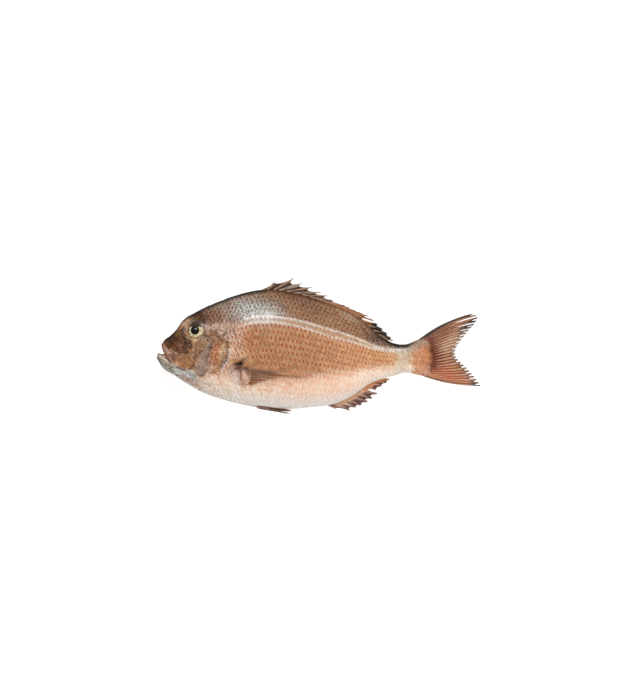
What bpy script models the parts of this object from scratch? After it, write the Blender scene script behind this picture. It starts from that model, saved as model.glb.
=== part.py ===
"""A whole raw sea bream, lying on its right side on a table with its left side up.

+X runs from the snout to the tail, +Y from the belly to the back, and +Z up from the table.
The origin is on the table, under the middle of the fish's outline. Lengths in the tables
below are millimetres of a fish 360 mm long, and MM turns them into metres.
"""

import math

import bmesh
import bpy
import numpy as np
from mathutils import Vector

TOTAL_LENGTH = 0.360  # tip of the lower jaw to the tips of the tail
MM = TOTAL_LENGTH / 360

# The middle plane of the fish lies flat along the trunk and sags towards the table at the tail.
MIDDLE_HEIGHT = 24.5  # height of the middle plane over the table
SAG_START = 35.0  # x at which the tail starts to sag
TAIL_X = 180.0  # x of the tips of the tail
TAIL_SAG = 20.0  # how far the tips of the tail hang below the middle plane

GAP = 0.45  # how far a groove or socket is widened round the piece that sits in it

# Outline of head and trunk, as (x, y), without the fins.
BACK = (
    (-180, -12.5), (-178, -7.5), (-173.5, 3.5), (-166, 10.5), (-159.5, 16.5), (-152, 27),
    (-137, 37), (-113, 48), (-84, 58), (-55, 62), (-28, 58.5), (0, 50.5), (26, 41),
    (49, 26.5), (66, 11.5), (82, 2.5), (97, 1.5), (108, 6), (119, 7), (124, 4), (127, -2),
)
BELLY = (
    (-180, -15), (-176, -21.5), (-160, -33), (-131, -51), (-100, -61.5), (-67, -69.5),
    (-35, -70.5), (-5, -67.5), (16, -64.5), (33, -57.5), (56, -42), (76, -35),
    (98, -30), (108, -32), (119, -33), (124, -30), (127, -24),
)
# Half of the thickness, as (x, z).
GIRTH = (
    (-180, 3.6), (-176, 7), (-168, 10.5), (-150, 16), (-125, 21.5), (-98, 25), (-65, 26),
    (-30, 25), (5, 21.8), (40, 16.5), (70, 11.2), (92, 7.6), (110, 4.9), (127, 2.4),
)
# How pointed the sections are at the back and at the belly: 1 is an ellipse, more is sharper.
BACK_EDGE = ((-180, 0.8), (-140, 0.85), (-100, 1.15), (-50, 1.35), (60, 1.25), (127, 1.0))
BELLY_EDGE = ((-180, 0.8), (-140, 1.05), (-90, 0.85), (-20, 0.8), (40, 1.15), (127, 1.0))

SECTION_POINTS = 32  # points round one section
SNOUT_STEP, SNOUT_END = 2.0, -174.0  # distance between sections at the blunt end of the snout
HEAD_STEP, HEAD_END = 5.0, -133.0
TRUNK_STEP = 7.5

# Gill cover: a plate over each side of the head. Its round free edge is furthest back at the
# middle of the flank, and the sections are bent to run along it.
GILL_X = -131.5  # where the edge would meet the back and the belly
GILL_BEND = 34.0  # how far back the edge reaches from there
GILL_SPREAD = 0.5  # share of half the body's depth over which the bend fades
GILL_FRONT, GILL_REAR = -168.0, -56.0  # the sections beyond these are straight again
GILL_RELIEF = 1.8  # how far the edge stands off the flank
GILL_EDGE_WIDTH = 2.0
GILL_TOP, GILL_BOTTOM = 0.55, -0.8  # shares of half the depth, where the edge grows into the skin

# Mouth: a notch between the jaws, right through the snout.
MOUTH_CORNER = (-165.5, -15.0)
UPPER_LIP = (-174.6, 1.8)
LOWER_LIP = (-177.6, -8.8)
MOUTH_DEPTH_Z = 60.0
MOUTH_FRONT_X = -190.0

EYE_CENTRE = (-136.5, 14.2)
EYE_RADII = (9.2, 8.6, 6.4)
EYE_STANDS_OUT = 1.9  # how far the eyeball stands proud of the head
EYE_SEGMENTS, EYE_RINGS = 16, 9

FIN_ROOT = 4.0  # how deep a fin's root sits in its groove
RAY_ROWS = 3

# Spines and soft rays of the two fins along the outline, from the front: x at the outline, the
# tip as x and y, and how deep the notch behind the ray is, as a share of its length.
DORSAL = (
    (-62, -53, 66.5, 0.3), (-57, -50.5, 70, 0.4), (-50, -28.2, 74.8, 0.45), (-43, -19.9, 68.6, 0.4),
    (-35, -8.9, 64.4, 0.45), (-26, 1.3, 58.6, 0.4), (-17, 8.7, 54.8, 0.35), (-8, 15.1, 49.6, 0.2),
    (0, 21.1, 46, 0.15), (8, 27.6, 44.2, 0.1), (15, 33.1, 41.8, 0.1), (21, 39.6, 38.4, 0.1),
    (27, 46.5, 35.9, 0.15), (33, 53, 33.1, 0.3), (39, 59.9, 27.8, 0.8), (48, 64, 23.4, 0.15),
    (54, 69.5, 18.6, 0.15), (60, 74.5, 13.6, 0.15), (66, 79, 8.4, 0.15), (71, 81.5, 5.2, 0),
)
ANAL = (
    (10, 17.1, -70, 0.5), (16, 33.7, -71.9, 0.35), (23, 39, -67.6, 0.15), (29, 45, -64.8, 0.2),
    (35, 51.9, -62.4, 0.35), (40, 56, -58.6, 0.35), (45, 63.5, -52.8, 0.8), (51, 61, -48.6, 0.1),
    (57, 68.5, -45, 0.12), (63, 73.9, -41, 0.12), (69, 78.5, -36.8, 0),
)

# The other fins are fans of even rays from a base line to an edge line, both as (x, y).
TAIL_RAYS = 19
TAIL_BASE = ((104, 1), (113, 2.5), (119, -3), (120.5, -13), (119, -23), (113, -29), (103.5, -28.5))
TAIL_EDGE = (
    (171, 35.6), (175.5, 31), (163, 13.5), (150.5, -10.5), (163.5, -24.5), (174, -36.5), (179.9, -45),
)
TAIL_ROOT_AIM = (96.0, -14.0)  # the rays of the tail grow out from round this point
TAIL_BOW = (4.5, -4.0)  # how far the uppermost and the lowest ray bow outwards
TAIL_NOTCH = 0.07
PECTORAL_RAYS = 9
PECTORAL_BASE = ((-91, -25), (-80, -43))
PECTORAL_EDGE = ((-11, -34.5), (-38, -35), (-62, -39.5), (-72, -43.5))
PECTORAL_NOTCH = 0.05
PECTORAL_LIFT = (-2.0, 2.6)  # height over the skin at the root and at the tips
PELVIC_RAYS = 6
PELVIC_BASE = ((-64, -63), (-60, -68.5))
PELVIC_EDGE = ((-28.5, -71.6), (-40, -73.8))
PELVIC_NOTCH = 0.05
PELVIC_SPREAD = (4.0, 9.0)  # distance from the middle plane at the root and at the tips
LOWER_PELVIC_SHIFT = (-4.0, -1.0)  # the lower one of the pair shows a little behind and below

FIN_THICKNESS = 1.8  # at the root
FIN_EDGE_SHARE = 0.45  # share of that left at the edge
TABLE_CLEARANCE = 0.9  # least height of a thin fin's own middle over the table

SKIN = (0.43, 0.23, 0.13)
DARK_FIN = (0.17, 0.10, 0.07)
TAIL_SKIN = (0.42, 0.19, 0.09)
PALE_FIN = (0.25, 0.13, 0.07)
IRIS = (0.50, 0.42, 0.27)


def curve_through(points):
    """A smooth function through (x, y) points, for a number or an array."""
    xs, ys = np.array(points, float).T
    slopes = np.gradient(ys, xs)

    def value(x):
        x = np.clip(x, xs[0], xs[-1])
        i = np.clip(np.searchsorted(xs, x) - 1, 0, len(xs) - 2)
        span = xs[i + 1] - xs[i]
        t = (x - xs[i]) / span
        return (
            ys[i] * (1 + 2 * t) * (1 - t) ** 2
            + ys[i + 1] * t * t * (3 - 2 * t)
            + span * (slopes[i] * t * (1 - t) ** 2 + slopes[i + 1] * t * t * (t - 1))
        )

    return value


def line_through(points):
    """A smooth path through (x, y) points, as a function of the share of its length."""
    points = np.array(points, float)
    along = np.concatenate([[0], np.cumsum(np.linalg.norm(np.diff(points, axis=0), axis=1))])
    share = along / along[-1]
    x_of = curve_through(np.column_stack([share, points[:, 0]]))
    y_of = curve_through(np.column_stack([share, points[:, 1]]))
    return lambda t: (float(x_of(t)), float(y_of(t)))


def smooth_step(low, high, value):
    t = min(1.0, max(0.0, (value - low) / (high - low)))
    return t * t * (3 - 2 * t)


back_y = curve_through(BACK)
belly_y = curve_through(BELLY)
half_girth = curve_through(GIRTH)
back_edge = curve_through(BACK_EDGE)
belly_edge = curve_through(BELLY_EDGE)


def middle_z(x):
    """Height of the fish's middle plane over the table."""
    past = max(0.0, x - SAG_START) / (TAIL_X - SAG_START)
    return MIDDLE_HEIGHT - TAIL_SAG * past**2


def gill_bend(rise):
    """How far back the gill cover reaches at this share of half the body's depth."""
    return GILL_BEND * math.exp(-((rise / GILL_SPREAD) ** 2))


def gill_relief(x, rise):
    """How far the gill cover stands out from the flank."""
    past_edge = x - GILL_X - gill_bend(rise)
    on_cheek = smooth_step(GILL_FRONT, GILL_X, x)
    on_edge = 1 - smooth_step(-GILL_EDGE_WIDTH / 2, GILL_EDGE_WIDTH / 2, past_edge)
    below_nape = 1 - smooth_step(GILL_TOP / 2, GILL_TOP, rise)
    above_throat = smooth_step(GILL_BOTTOM, GILL_BOTTOM / 2, rise)
    return GILL_RELIEF * on_cheek * on_edge * below_nape * above_throat


def middle_and_half(x):
    """The middle line between back and belly, and half of the depth between them."""
    return (back_y(x) + belly_y(x)) / 2, (back_y(x) - belly_y(x)) / 2


def skin_z(x, y, side):
    """Height of the skin over the table: side is 1 on the upper, left side and -1 below."""
    middle, half = middle_and_half(x)
    rise = min(1.0, max(-1.0, (y - middle) / half))
    edge = 1 + (back_edge(x) - 1) * max(rise, 0) + (belly_edge(x) - 1) * max(-rise, 0)
    reach = half_girth(x) * (1 - rise * rise) ** (edge / 2) + gill_relief(x, rise)
    return max(0.0, middle_z(x) + side * reach)


def new_object(name, mesh, collection, material=None):
    made = bpy.data.objects.new(name, mesh)
    collection.objects.link(made)
    if material:
        mesh.materials.append(material)
    mesh.shade_smooth()
    return made


def finish(name, colour, roughness):
    """A Principled material of one colour."""
    made = bpy.data.materials.new(name)
    made.use_nodes = True
    shader = made.node_tree.nodes["Principled BSDF"]
    shader.inputs["Base Color"].default_value = (*colour, 1)
    shader.inputs["Roughness"].default_value = roughness
    return made


def cut(target, cutter):
    """Takes the cutter's shape out of the target."""
    boolean = target.modifiers.new("cut_" + cutter.name, "BOOLEAN")
    boolean.operation = "DIFFERENCE"
    boolean.solver = "EXACT"
    boolean.object = cutter


def as_cutter(made):
    made.hide_render = True
    made.display_type = "WIRE"
    return made


def seat(target, piece, cutters):
    """Cuts a groove or socket for the piece out of the target, wider than the piece by GAP."""
    cutter = new_object(piece.name + "_seat", piece.data.copy(), cutters)
    cutter.matrix_world = piece.matrix_world
    for modifier in piece.modifiers:
        solidify = cutter.modifiers.new(modifier.name, "SOLIDIFY")
        solidify.thickness = modifier.thickness
        solidify.offset = modifier.offset
        solidify.vertex_group = modifier.vertex_group
        solidify.thickness_vertex_group = modifier.thickness_vertex_group
    for group in piece.vertex_groups:
        cutter.vertex_groups.new(name=group.name)
    widen = cutter.modifiers.new("widen", "DISPLACE")
    widen.strength = GAP * MM
    widen.mid_level = 0
    cut(target, as_cutter(cutter))


def section_stations():
    """Where the sections meet the back: close together at the snout and at the gill cover's edge."""
    return [
        *np.arange(BACK[0][0], SNOUT_END, SNOUT_STEP),
        *np.arange(SNOUT_END, HEAD_END, HEAD_STEP),
        GILL_X - GILL_EDGE_WIDTH / 2,
        GILL_X + GILL_EDGE_WIDTH / 2,
        *np.arange(GILL_X + TRUNK_STEP, BACK[-1][0] - TRUNK_STEP, TRUNK_STEP),
        *(x for x, _ in BACK[-3:]),
    ]


def build_trunk(collection, material):
    """Head and trunk as a loft of sections from the lower jaw to the root of the tail."""
    bm = bmesh.new()
    rings = []
    for station in section_stations():
        bent = smooth_step(GILL_FRONT, GILL_X, station) * (1 - smooth_step(GILL_X, GILL_REAR, station))
        ring = []
        for k in range(SECTION_POINTS):
            angle = 2 * math.pi * k / SECTION_POINTS
            rise = math.cos(angle)
            x = station + bent * gill_bend(rise)
            middle, half = middle_and_half(x)
            y = middle + half * rise
            z = skin_z(x, y, 1 if math.sin(angle) >= 0 else -1)
            ring.append(bm.verts.new(Vector((x, y, z)) * MM))
        rings.append(ring)
    for ring, following in zip(rings, rings[1:]):
        for k in range(SECTION_POINTS):
            after = (k + 1) % SECTION_POINTS
            bm.faces.new((ring[k], ring[after], following[after], following[k]))
    bm.faces.new(rings[0][::-1])
    bm.faces.new(rings[-1])
    bmesh.ops.recalc_face_normals(bm, faces=bm.faces)
    bmesh.ops.triangulate(bm, faces=bm.faces)
    mesh = bpy.data.meshes.new("body")
    bm.to_mesh(mesh)
    bm.free()
    return new_object("body", mesh, collection, material)


def build_mouth(cutters):
    """The open mouth, as a flat outline pushed through the snout."""
    outline = bpy.data.curves.new("mouth_notch", "CURVE")
    outline.dimensions = "2D"
    outline.fill_mode = "BOTH"
    outline.extrude = MOUTH_DEPTH_Z / 2 * MM
    corners = (
        MOUTH_CORNER, UPPER_LIP, (MOUTH_FRONT_X, UPPER_LIP[1]), (MOUTH_FRONT_X, LOWER_LIP[1]), LOWER_LIP,
    )
    spline = outline.splines.new("POLY")
    spline.points.add(len(corners) - 1)
    spline.use_cyclic_u = True
    for point, (x, y) in zip(spline.points, corners):
        point.co = (x * MM, y * MM, 0, 1)
    flat = bpy.data.objects.new("mouth_outline", outline)
    cutters.objects.link(flat)
    mesh = bpy.data.meshes.new_from_object(flat.evaluated_get(bpy.context.evaluated_depsgraph_get()))
    bpy.data.objects.remove(flat)
    bm = bmesh.new()
    bm.from_mesh(mesh)
    bmesh.ops.remove_doubles(bm, verts=bm.verts, dist=1e-6)
    bmesh.ops.recalc_face_normals(bm, faces=bm.faces)
    bm.to_mesh(mesh)
    bm.free()
    notch = new_object("mouth_notch", mesh, cutters)
    notch.location.z = MIDDLE_HEIGHT * MM
    return as_cutter(notch)


def build_eye(name, side, collection, material):
    """A flattened eyeball, sunk into the side of the head."""
    x, y = EYE_CENTRE
    z = skin_z(x, y, side) + side * (EYE_STANDS_OUT - EYE_RADII[2])
    bm = bmesh.new()
    bmesh.ops.create_uvsphere(bm, u_segments=EYE_SEGMENTS, v_segments=EYE_RINGS, radius=1)
    for vert in bm.verts:
        vert.co = Vector([a * r * MM for a, r in zip(vert.co, EYE_RADII)])
    mesh = bpy.data.meshes.new(name)
    bm.to_mesh(mesh)
    bm.free()
    eye = new_object(name, mesh, collection, material)
    eye.location = Vector((x, y, z)) * MM
    return eye


def build_fin(name, rays, height_of, collection, material):
    """A fan of rays with scalloped skin between them.

    rays holds a root, a base and a tip point for each ray, how far it bows sideways and how
    deep the notch behind it is. height_of gives the height of a point from its x, y and share
    of the way to the tip.
    """
    columns = [rays[0]]
    for ray, following in zip(rays, rays[1:]):
        root, base, tip, bow = ((a + b) / 2 for a, b in zip(ray[:4], following))
        notch = ray[4]
        columns += [(root, base, base + (tip - base) * (1 - notch), bow, notch), following]
    bm = bmesh.new()
    taper = bm.verts.layers.deform.verify()
    grid = []
    for root, base, tip, bow, _ in columns:
        across = np.array([base[1] - tip[1], tip[0] - base[0]]) / np.linalg.norm(tip - base)
        column = []
        for row in range(-1, RAY_ROWS + 1):
            share = max(row, 0) / RAY_ROWS
            place = root if row < 0 else base + (tip - base) * share + across * bow * 4 * share * (1 - share)
            vert = bm.verts.new(Vector((*place, height_of(*place, share))) * MM)
            vert[taper][0] = 1 - share
            column.append(vert)
        grid.append(column)
    for column, following in zip(grid, grid[1:]):
        for row in range(RAY_ROWS + 1):
            bm.faces.new((column[row], column[row + 1], following[row + 1], following[row]))
    bmesh.ops.triangulate(bm, faces=bm.faces)
    bmesh.ops.recalc_face_normals(bm, faces=bm.faces)
    mesh = bpy.data.meshes.new(name)
    bm.to_mesh(mesh)
    bm.free()
    fin = new_object(name, mesh, collection, material)
    fin.vertex_groups.new(name="taper")
    solidify = fin.modifiers.new("thickness", "SOLIDIFY")
    solidify.thickness = FIN_THICKNESS * MM
    solidify.offset = 0
    solidify.vertex_group = "taper"
    solidify.thickness_vertex_group = FIN_EDGE_SHARE
    return fin


def even_rays(count, base_at, edge_at, root_step, notch, bows=(0, 0)):
    """Rays evenly spread over a base line and an edge line."""
    rays = []
    for k in range(count):
        share = k / (count - 1)
        base, tip = np.array(base_at(share)), np.array(edge_at(share))
        bow = bows[0] + (bows[1] - bows[0]) * share
        rays.append((base + np.array(root_step(share)), base, tip, bow, notch))
    return rays


def build_outline_fin(name, table, outline_y, root_step, collection, material):
    """A fin that stands on the outline of the back or the belly, in the fish's middle plane."""
    rays = []
    for base_x, tip_x, tip_y, notch in table:
        base = np.array([base_x, outline_y(base_x)])
        rays.append((base + np.array([0, root_step]), base, np.array([tip_x, tip_y]), 0, notch))
    return build_fin(name, rays, on_middle, collection, material)


def on_middle(x, y, share):
    return middle_z(x)


def build_tail_fin(collection, material):
    base_at = line_through(TAIL_BASE)

    def towards_trunk(share):
        step = np.array(TAIL_ROOT_AIM) - base_at(share)
        return step * FIN_ROOT / np.linalg.norm(step)

    rays = even_rays(TAIL_RAYS, base_at, line_through(TAIL_EDGE), towards_trunk, TAIL_NOTCH, TAIL_BOW)
    return build_fin("tail_fin", rays, on_middle, collection, material)


def straight_back(share):
    """The step from the base of a paired fin's ray to its root."""
    return -FIN_ROOT, 0


def build_pectoral_fin(name, side, collection, material):
    """Folded back against the flank, a little off it at the tips."""
    low, high = PECTORAL_LIFT

    def against_flank(x, y, share):
        lift = low + (high - low) * math.sqrt(share)
        return max(TABLE_CLEARANCE, skin_z(x, y, side) + side * lift)

    base_at, edge_at = line_through(PECTORAL_BASE), line_through(PECTORAL_EDGE)
    rays = even_rays(PECTORAL_RAYS, base_at, edge_at, straight_back, PECTORAL_NOTCH)
    return build_fin(name, rays, against_flank, collection, material)


def build_pelvic_fin(name, side, collection, material):
    """Folded back under the belly, one on each side of the middle plane."""
    near, far = PELVIC_SPREAD
    shift = np.array(LOWER_PELVIC_SHIFT if side < 0 else (0, 0))

    def beside_middle(x, y, share):
        return middle_z(x) + side * (near + (far - near) * share)

    base_at, edge_at = line_through(PELVIC_BASE), line_through(PELVIC_EDGE)
    rays = even_rays(PELVIC_RAYS, base_at, edge_at, straight_back, PELVIC_NOTCH)
    rays = [(root + shift, base + shift, tip + shift, *rest) for root, base, tip, *rest in rays]
    return build_fin(name, rays, beside_middle, collection, material)


def main():
    for leftover in list(bpy.data.objects):
        bpy.data.objects.remove(leftover)
    fish = bpy.data.collections.new("sea_bream")
    cutters = bpy.data.collections.new("cutters")
    for collection in (fish, cutters):
        bpy.context.scene.collection.children.link(collection)

    skin = finish("skin", SKIN, 0.35)
    iris = finish("eye", IRIS, 0.12)
    dark_fin = finish("dark_fin", DARK_FIN, 0.45)
    tail_skin = finish("tail_skin", TAIL_SKIN, 0.45)
    pale_fin = finish("pale_fin", PALE_FIN, 0.45)

    body = build_trunk(fish, skin)
    cut(body, build_mouth(cutters))
    seated = [
        build_eye("eye_left", 1, fish, iris),
        build_eye("eye_right", -1, fish, iris),
        build_outline_fin("dorsal_fin", DORSAL, back_y, -FIN_ROOT, fish, dark_fin),
        build_outline_fin("anal_fin", ANAL, belly_y, FIN_ROOT, fish, dark_fin),
        build_tail_fin(fish, tail_skin),
        build_pectoral_fin("pectoral_fin_left", 1, fish, pale_fin),
        build_pectoral_fin("pectoral_fin_right", -1, fish, pale_fin),
        build_pelvic_fin("pelvic_fin_left", 1, fish, dark_fin),
        build_pelvic_fin("pelvic_fin_right", -1, fish, dark_fin),
    ]
    bpy.context.view_layer.update()
    for piece in seated:
        seat(body, piece, cutters)


main()
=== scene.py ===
"""The looks of a whole raw sea bream, lying on its right side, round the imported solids."""

import math

import bmesh
import bpy
import numpy as np
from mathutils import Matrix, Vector


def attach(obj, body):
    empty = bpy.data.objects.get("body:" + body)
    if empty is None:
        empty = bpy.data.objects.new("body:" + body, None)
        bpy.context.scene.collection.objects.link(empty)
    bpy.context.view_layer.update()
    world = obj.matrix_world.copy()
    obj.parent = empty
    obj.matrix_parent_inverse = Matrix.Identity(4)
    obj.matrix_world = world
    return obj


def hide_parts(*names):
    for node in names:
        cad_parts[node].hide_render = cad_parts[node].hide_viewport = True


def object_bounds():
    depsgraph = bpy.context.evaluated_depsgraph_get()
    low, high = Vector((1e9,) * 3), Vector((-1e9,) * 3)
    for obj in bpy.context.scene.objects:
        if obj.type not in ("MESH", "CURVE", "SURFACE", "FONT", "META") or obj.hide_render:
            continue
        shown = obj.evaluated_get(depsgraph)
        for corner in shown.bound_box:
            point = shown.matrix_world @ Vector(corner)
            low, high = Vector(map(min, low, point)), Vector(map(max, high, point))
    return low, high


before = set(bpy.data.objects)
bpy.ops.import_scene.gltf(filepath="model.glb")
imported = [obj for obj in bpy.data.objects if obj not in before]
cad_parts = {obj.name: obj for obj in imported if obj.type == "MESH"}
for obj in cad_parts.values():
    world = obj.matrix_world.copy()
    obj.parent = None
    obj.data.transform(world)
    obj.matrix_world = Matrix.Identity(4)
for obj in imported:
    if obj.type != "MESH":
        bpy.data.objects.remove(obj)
cad_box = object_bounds()

# ---- Head and trunk ----------------------------------------------------------------------
# The skin of the fish from the jaws to the root of the tail: thin wet hide over bone at the
# head, over muscle behind it. It is a loft of sections on the same outline as the solids, with
# the bones of the head as low relief.

FISH_LENGTH = 360  # the sections below are given for a fish of this many millimetres
MM = (cad_box[1][0] - cad_box[0][0]) / FISH_LENGTH
MIDDLE_HEIGHT, SAG_START, TAIL_X, TAIL_SAG = 24.5, 35.0, 180.0, 20.0
FLAT_SPOT_HEIGHT = 0.6  # the skin stays this far over the table, and the scales fill the rest

BACK = (
    (-180, -12.5), (-178, -7.5), (-173.5, 3.5), (-166, 10.5), (-159.5, 16.5), (-152, 27),
    (-137, 37), (-113, 48), (-84, 58), (-55, 62), (-28, 58.5), (0, 50.5), (26, 41),
    (49, 26.5), (66, 11.5), (82, 2.5), (97, 1.5), (108, 6), (119, 7), (124, 4), (127, -2),
)
BELLY = (
    (-180, -15), (-176, -21.5), (-160, -33), (-131, -51), (-100, -61.5), (-67, -68.4),
    (-35, -69.8), (-5, -67.5), (16, -64.5), (33, -57.5), (56, -42), (76, -35),
    (98, -30), (108, -32), (119, -33), (124, -30), (127, -24),
)
GIRTH = (
    (-180, 3.6), (-176, 7), (-168, 10.5), (-150, 16), (-125, 21.5), (-98, 25), (-65, 26),
    (-30, 25), (5, 21.8), (40, 16.5), (70, 11.2), (92, 7.6), (110, 4.6), (120, 2.6), (127, 0.7),
)
BACK_EDGE = ((-180, 0.8), (-140, 0.85), (-100, 1.15), (-50, 1.35), (60, 1.25), (127, 1.0))
BELLY_EDGE = ((-180, 0.8), (-140, 1.05), (-90, 0.85), (-20, 0.8), (40, 1.15), (127, 1.0))

GILL_X, GILL_BEND, GILL_SPREAD = -131.5, 34.0, 0.5
GILL_FRONT, GILL_REAR = -168.0, -56.0
GILL_RELIEF, GILL_EDGE_WIDTH = 1.8, 1.6
GILL_TOP, GILL_BOTTOM = 0.55, -0.8

EYE_CENTRE = (-135.5, 15.2)
EYE_RADII = (9.2, 8.2)  # of the opening in the skin
EYE_RIM_HEIGHT, SOCKET_DEPTH = 1.0, 3.0
NOSTRILS = (((-153.6, 16.2), 1.1), ((-148.6, 17.8), 1.7))  # centre and radius
NOSTRIL_RIM_HEIGHT, NOSTRIL_DEPTH = 0.35, 1.0
SHOULDER_HEIGHT = 0.55  # of the girdle of bone behind the gap of the gill
# Grooves between the bones of the head: path, width and depth.
GROOVES = (
    (((-116, 5), (-118.8, -1), (-121.6, -10), (-122.8, -20), (-122, -29)), 1.4, 0.9),
    (((-134.5, 2), (-136.5, -10), (-137.5, -18), (-140.5, -24.5), (-147, -27.5), (-158, -24)), 1.7, 0.6),
    (((-166.5, -3), (-161, -8.5), (-155, -11.3), (-149, -10)), 1.1, 0.7),
    (((-165, -18.5), (-156, -25), (-146, -30), (-134, -38), (-120, -45)), 1.4, 0.7),
    (((-150.5, 8.5), (-146, 5.5), (-139, 3.6), (-131, 5), (-126.5, 9.5)), 1.2, 0.45),
    (((-101, 4), (-99.6, -3), (-100.2, -11), (-103.5, -20), (-110, -29), (-120, -37)), 1.3, 0.8),
)
AXIL, AXIL_DEPTH = (-88.0, -20.8), 3.0  # the pit above the root of the pectoral fin
PECTORAL_PAD = ((-84.0, -33.5), (8.5, 9.5), 20)  # the fleshy root of the fin: place, radii and turn
PAD_HEIGHT = 3.0


def curve_through(points):
    """A smooth function through (x, y) points, for an array."""
    xs, ys = np.array(points, float).T
    slopes = np.gradient(ys, xs)

    def value(x):
        x = np.clip(x, xs[0], xs[-1])
        i = np.clip(np.searchsorted(xs, x) - 1, 0, len(xs) - 2)
        span = xs[i + 1] - xs[i]
        t = (x - xs[i]) / span
        return (
            ys[i] * (1 + 2 * t) * (1 - t) ** 2
            + ys[i + 1] * t * t * (3 - 2 * t)
            + span * (slopes[i] * t * (1 - t) ** 2 + slopes[i + 1] * t * t * (t - 1))
        )

    return value


def smooth_step(low, high, value):
    """0 up to low, 1 from high on, and smooth between them. low may be the greater."""
    t = np.clip((value - low) / (high - low), 0, 1)
    return t * t * (3 - 2 * t)


back_y, belly_y, half_girth = curve_through(BACK), curve_through(BELLY), curve_through(GIRTH)
back_edge, belly_edge = curve_through(BACK_EDGE), curve_through(BELLY_EDGE)


def middle_z(x):
    """Height of the fish's middle plane over the table."""
    past = np.maximum(0, x - SAG_START) / (TAIL_X - SAG_START)
    return MIDDLE_HEIGHT - TAIL_SAG * past**2


def blob(x, y, centre, radii, turn=0):
    """1 inside an ellipse turned by so many degrees, fading to 0 round it."""
    dx, dy = x - centre[0], y - centre[1]
    c, s = math.cos(math.radians(turn)), math.sin(math.radians(turn))
    return np.exp(-(((dx * c + dy * s) / radii[0]) ** 2 + ((dy * c - dx * s) / radii[1]) ** 2) ** 1.5)


def off_path(x, y, path):
    """Distance from a path of straight stretches."""
    nearest = np.full(np.shape(x), 1e9)
    for (ax, ay), (bx, by) in zip(path, path[1:]):
        length2 = (bx - ax) ** 2 + (by - ay) ** 2
        t = np.clip(((x - ax) * (bx - ax) + (y - ay) * (by - ay)) / length2, 0, 1)
        nearest = np.minimum(nearest, np.hypot(x - ax - t * (bx - ax), y - ay - t * (by - ay)))
    return nearest


def ridge(distance, middle, width):
    """1 at this distance, fading to 0 about two widths either way."""
    return np.exp(-(((distance - middle) / width) ** 2))


def gill_bend(rise):
    """How far the edge of the gill cover bows rearward at this height of the side."""
    return GILL_BEND * ridge(rise, 0, GILL_SPREAD)


def relief(x, y, rise):
    """How far the bones and edges of the head stand out from the smooth skin."""
    past_edge = x - GILL_X - gill_bend(rise)
    height = GILL_RELIEF * smooth_step(GILL_FRONT, GILL_X, x)
    height = height * (1 - smooth_step(-GILL_EDGE_WIDTH / 2, GILL_EDGE_WIDTH / 2, past_edge))
    height = height * (1 - smooth_step(GILL_TOP / 2, GILL_TOP, rise))
    height = height * smooth_step(GILL_BOTTOM, GILL_BOTTOM / 2, rise)
    on_side = smooth_step(-0.8, -0.5, rise) * (rise < 0.45)
    height = height + SHOULDER_HEIGHT * ridge(past_edge, 3.2, 1.8) * on_side
    for path, width, depth in GROOVES:
        height = height - depth * ridge(off_path(x, y, path), 0, width)
    to_eye = np.hypot((x - EYE_CENTRE[0]) / EYE_RADII[0], (y - EYE_CENTRE[1]) / EYE_RADII[1])
    height = height + EYE_RIM_HEIGHT * ridge(to_eye, 1.18, 0.16)
    height = height - SOCKET_DEPTH * (1 - smooth_step(0.8, 1.05, to_eye))
    for centre, radius in NOSTRILS:
        off = np.hypot(x - centre[0], y - centre[1]) / radius
        height = height + NOSTRIL_RIM_HEIGHT * ridge(off, 1.5, 0.4)
        height = height - NOSTRIL_DEPTH * (1 - smooth_step(0.5, 1.1, off))
    height = height + PAD_HEIGHT * blob(x, y, *PECTORAL_PAD)
    height = height - AXIL_DEPTH * blob(x, y, AXIL, (4.2, 1.7), 8)
    return height * smooth_step(0, 0.25, 1 - np.abs(rise))


def rise_of(x, y):
    """Place between back and belly: 1 at the back, -1 at the belly."""
    return np.clip((2 * y - back_y(x) - belly_y(x)) / (back_y(x) - belly_y(x)), -1, 1)


def skin_z(x, y, side, extra=0):
    """Height of the skin over the table: side is 1 on the upper, left side and -1 below."""
    rise = rise_of(x, y)
    edge = 1 + (back_edge(x) - 1) * np.maximum(rise, 0) + (belly_edge(x) - 1) * np.maximum(-rise, 0)
    reach = half_girth(x) * (1 - rise**2) ** (edge / 2) + relief(x, y, rise) + extra
    return np.maximum(middle_z(x) + side * reach, FLAT_SPOT_HEIGHT)


def skin_point(x, angle):
    """A point of the skin. The angle goes round the section at x from the back over the upper,
    left side to the belly and home on the lower side."""
    y = (back_y(x) + belly_y(x)) / 2 + (back_y(x) - belly_y(x)) / 2 * np.cos(angle)
    return np.stack(np.broadcast_arrays(x, y, skin_z(x, y, np.where(np.sin(angle) >= 0, 1, -1))), axis=-1)


def linear(hex_colour):
    """An sRGB hex colour as linear red, green and blue."""
    parts = np.array([int(hex_colour[i : i + 2], 16) for i in (1, 3, 5)]) / 255
    return np.where(parts <= 0.04045, parts / 12.92, ((parts + 0.055) / 1.055) ** 2.4)


LATERAL_LINE = (
    (-92, 22), (-81, 26.5), (-60, 29), (-39, 27.5), (-18, 23.5), (8, 16.5), (30, 9.8),
    (47, 3.5), (64, -1.5), (84, -4), (107, -3.5), (124, -8),
)
lateral_y = curve_through(LATERAL_LINE)
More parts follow.
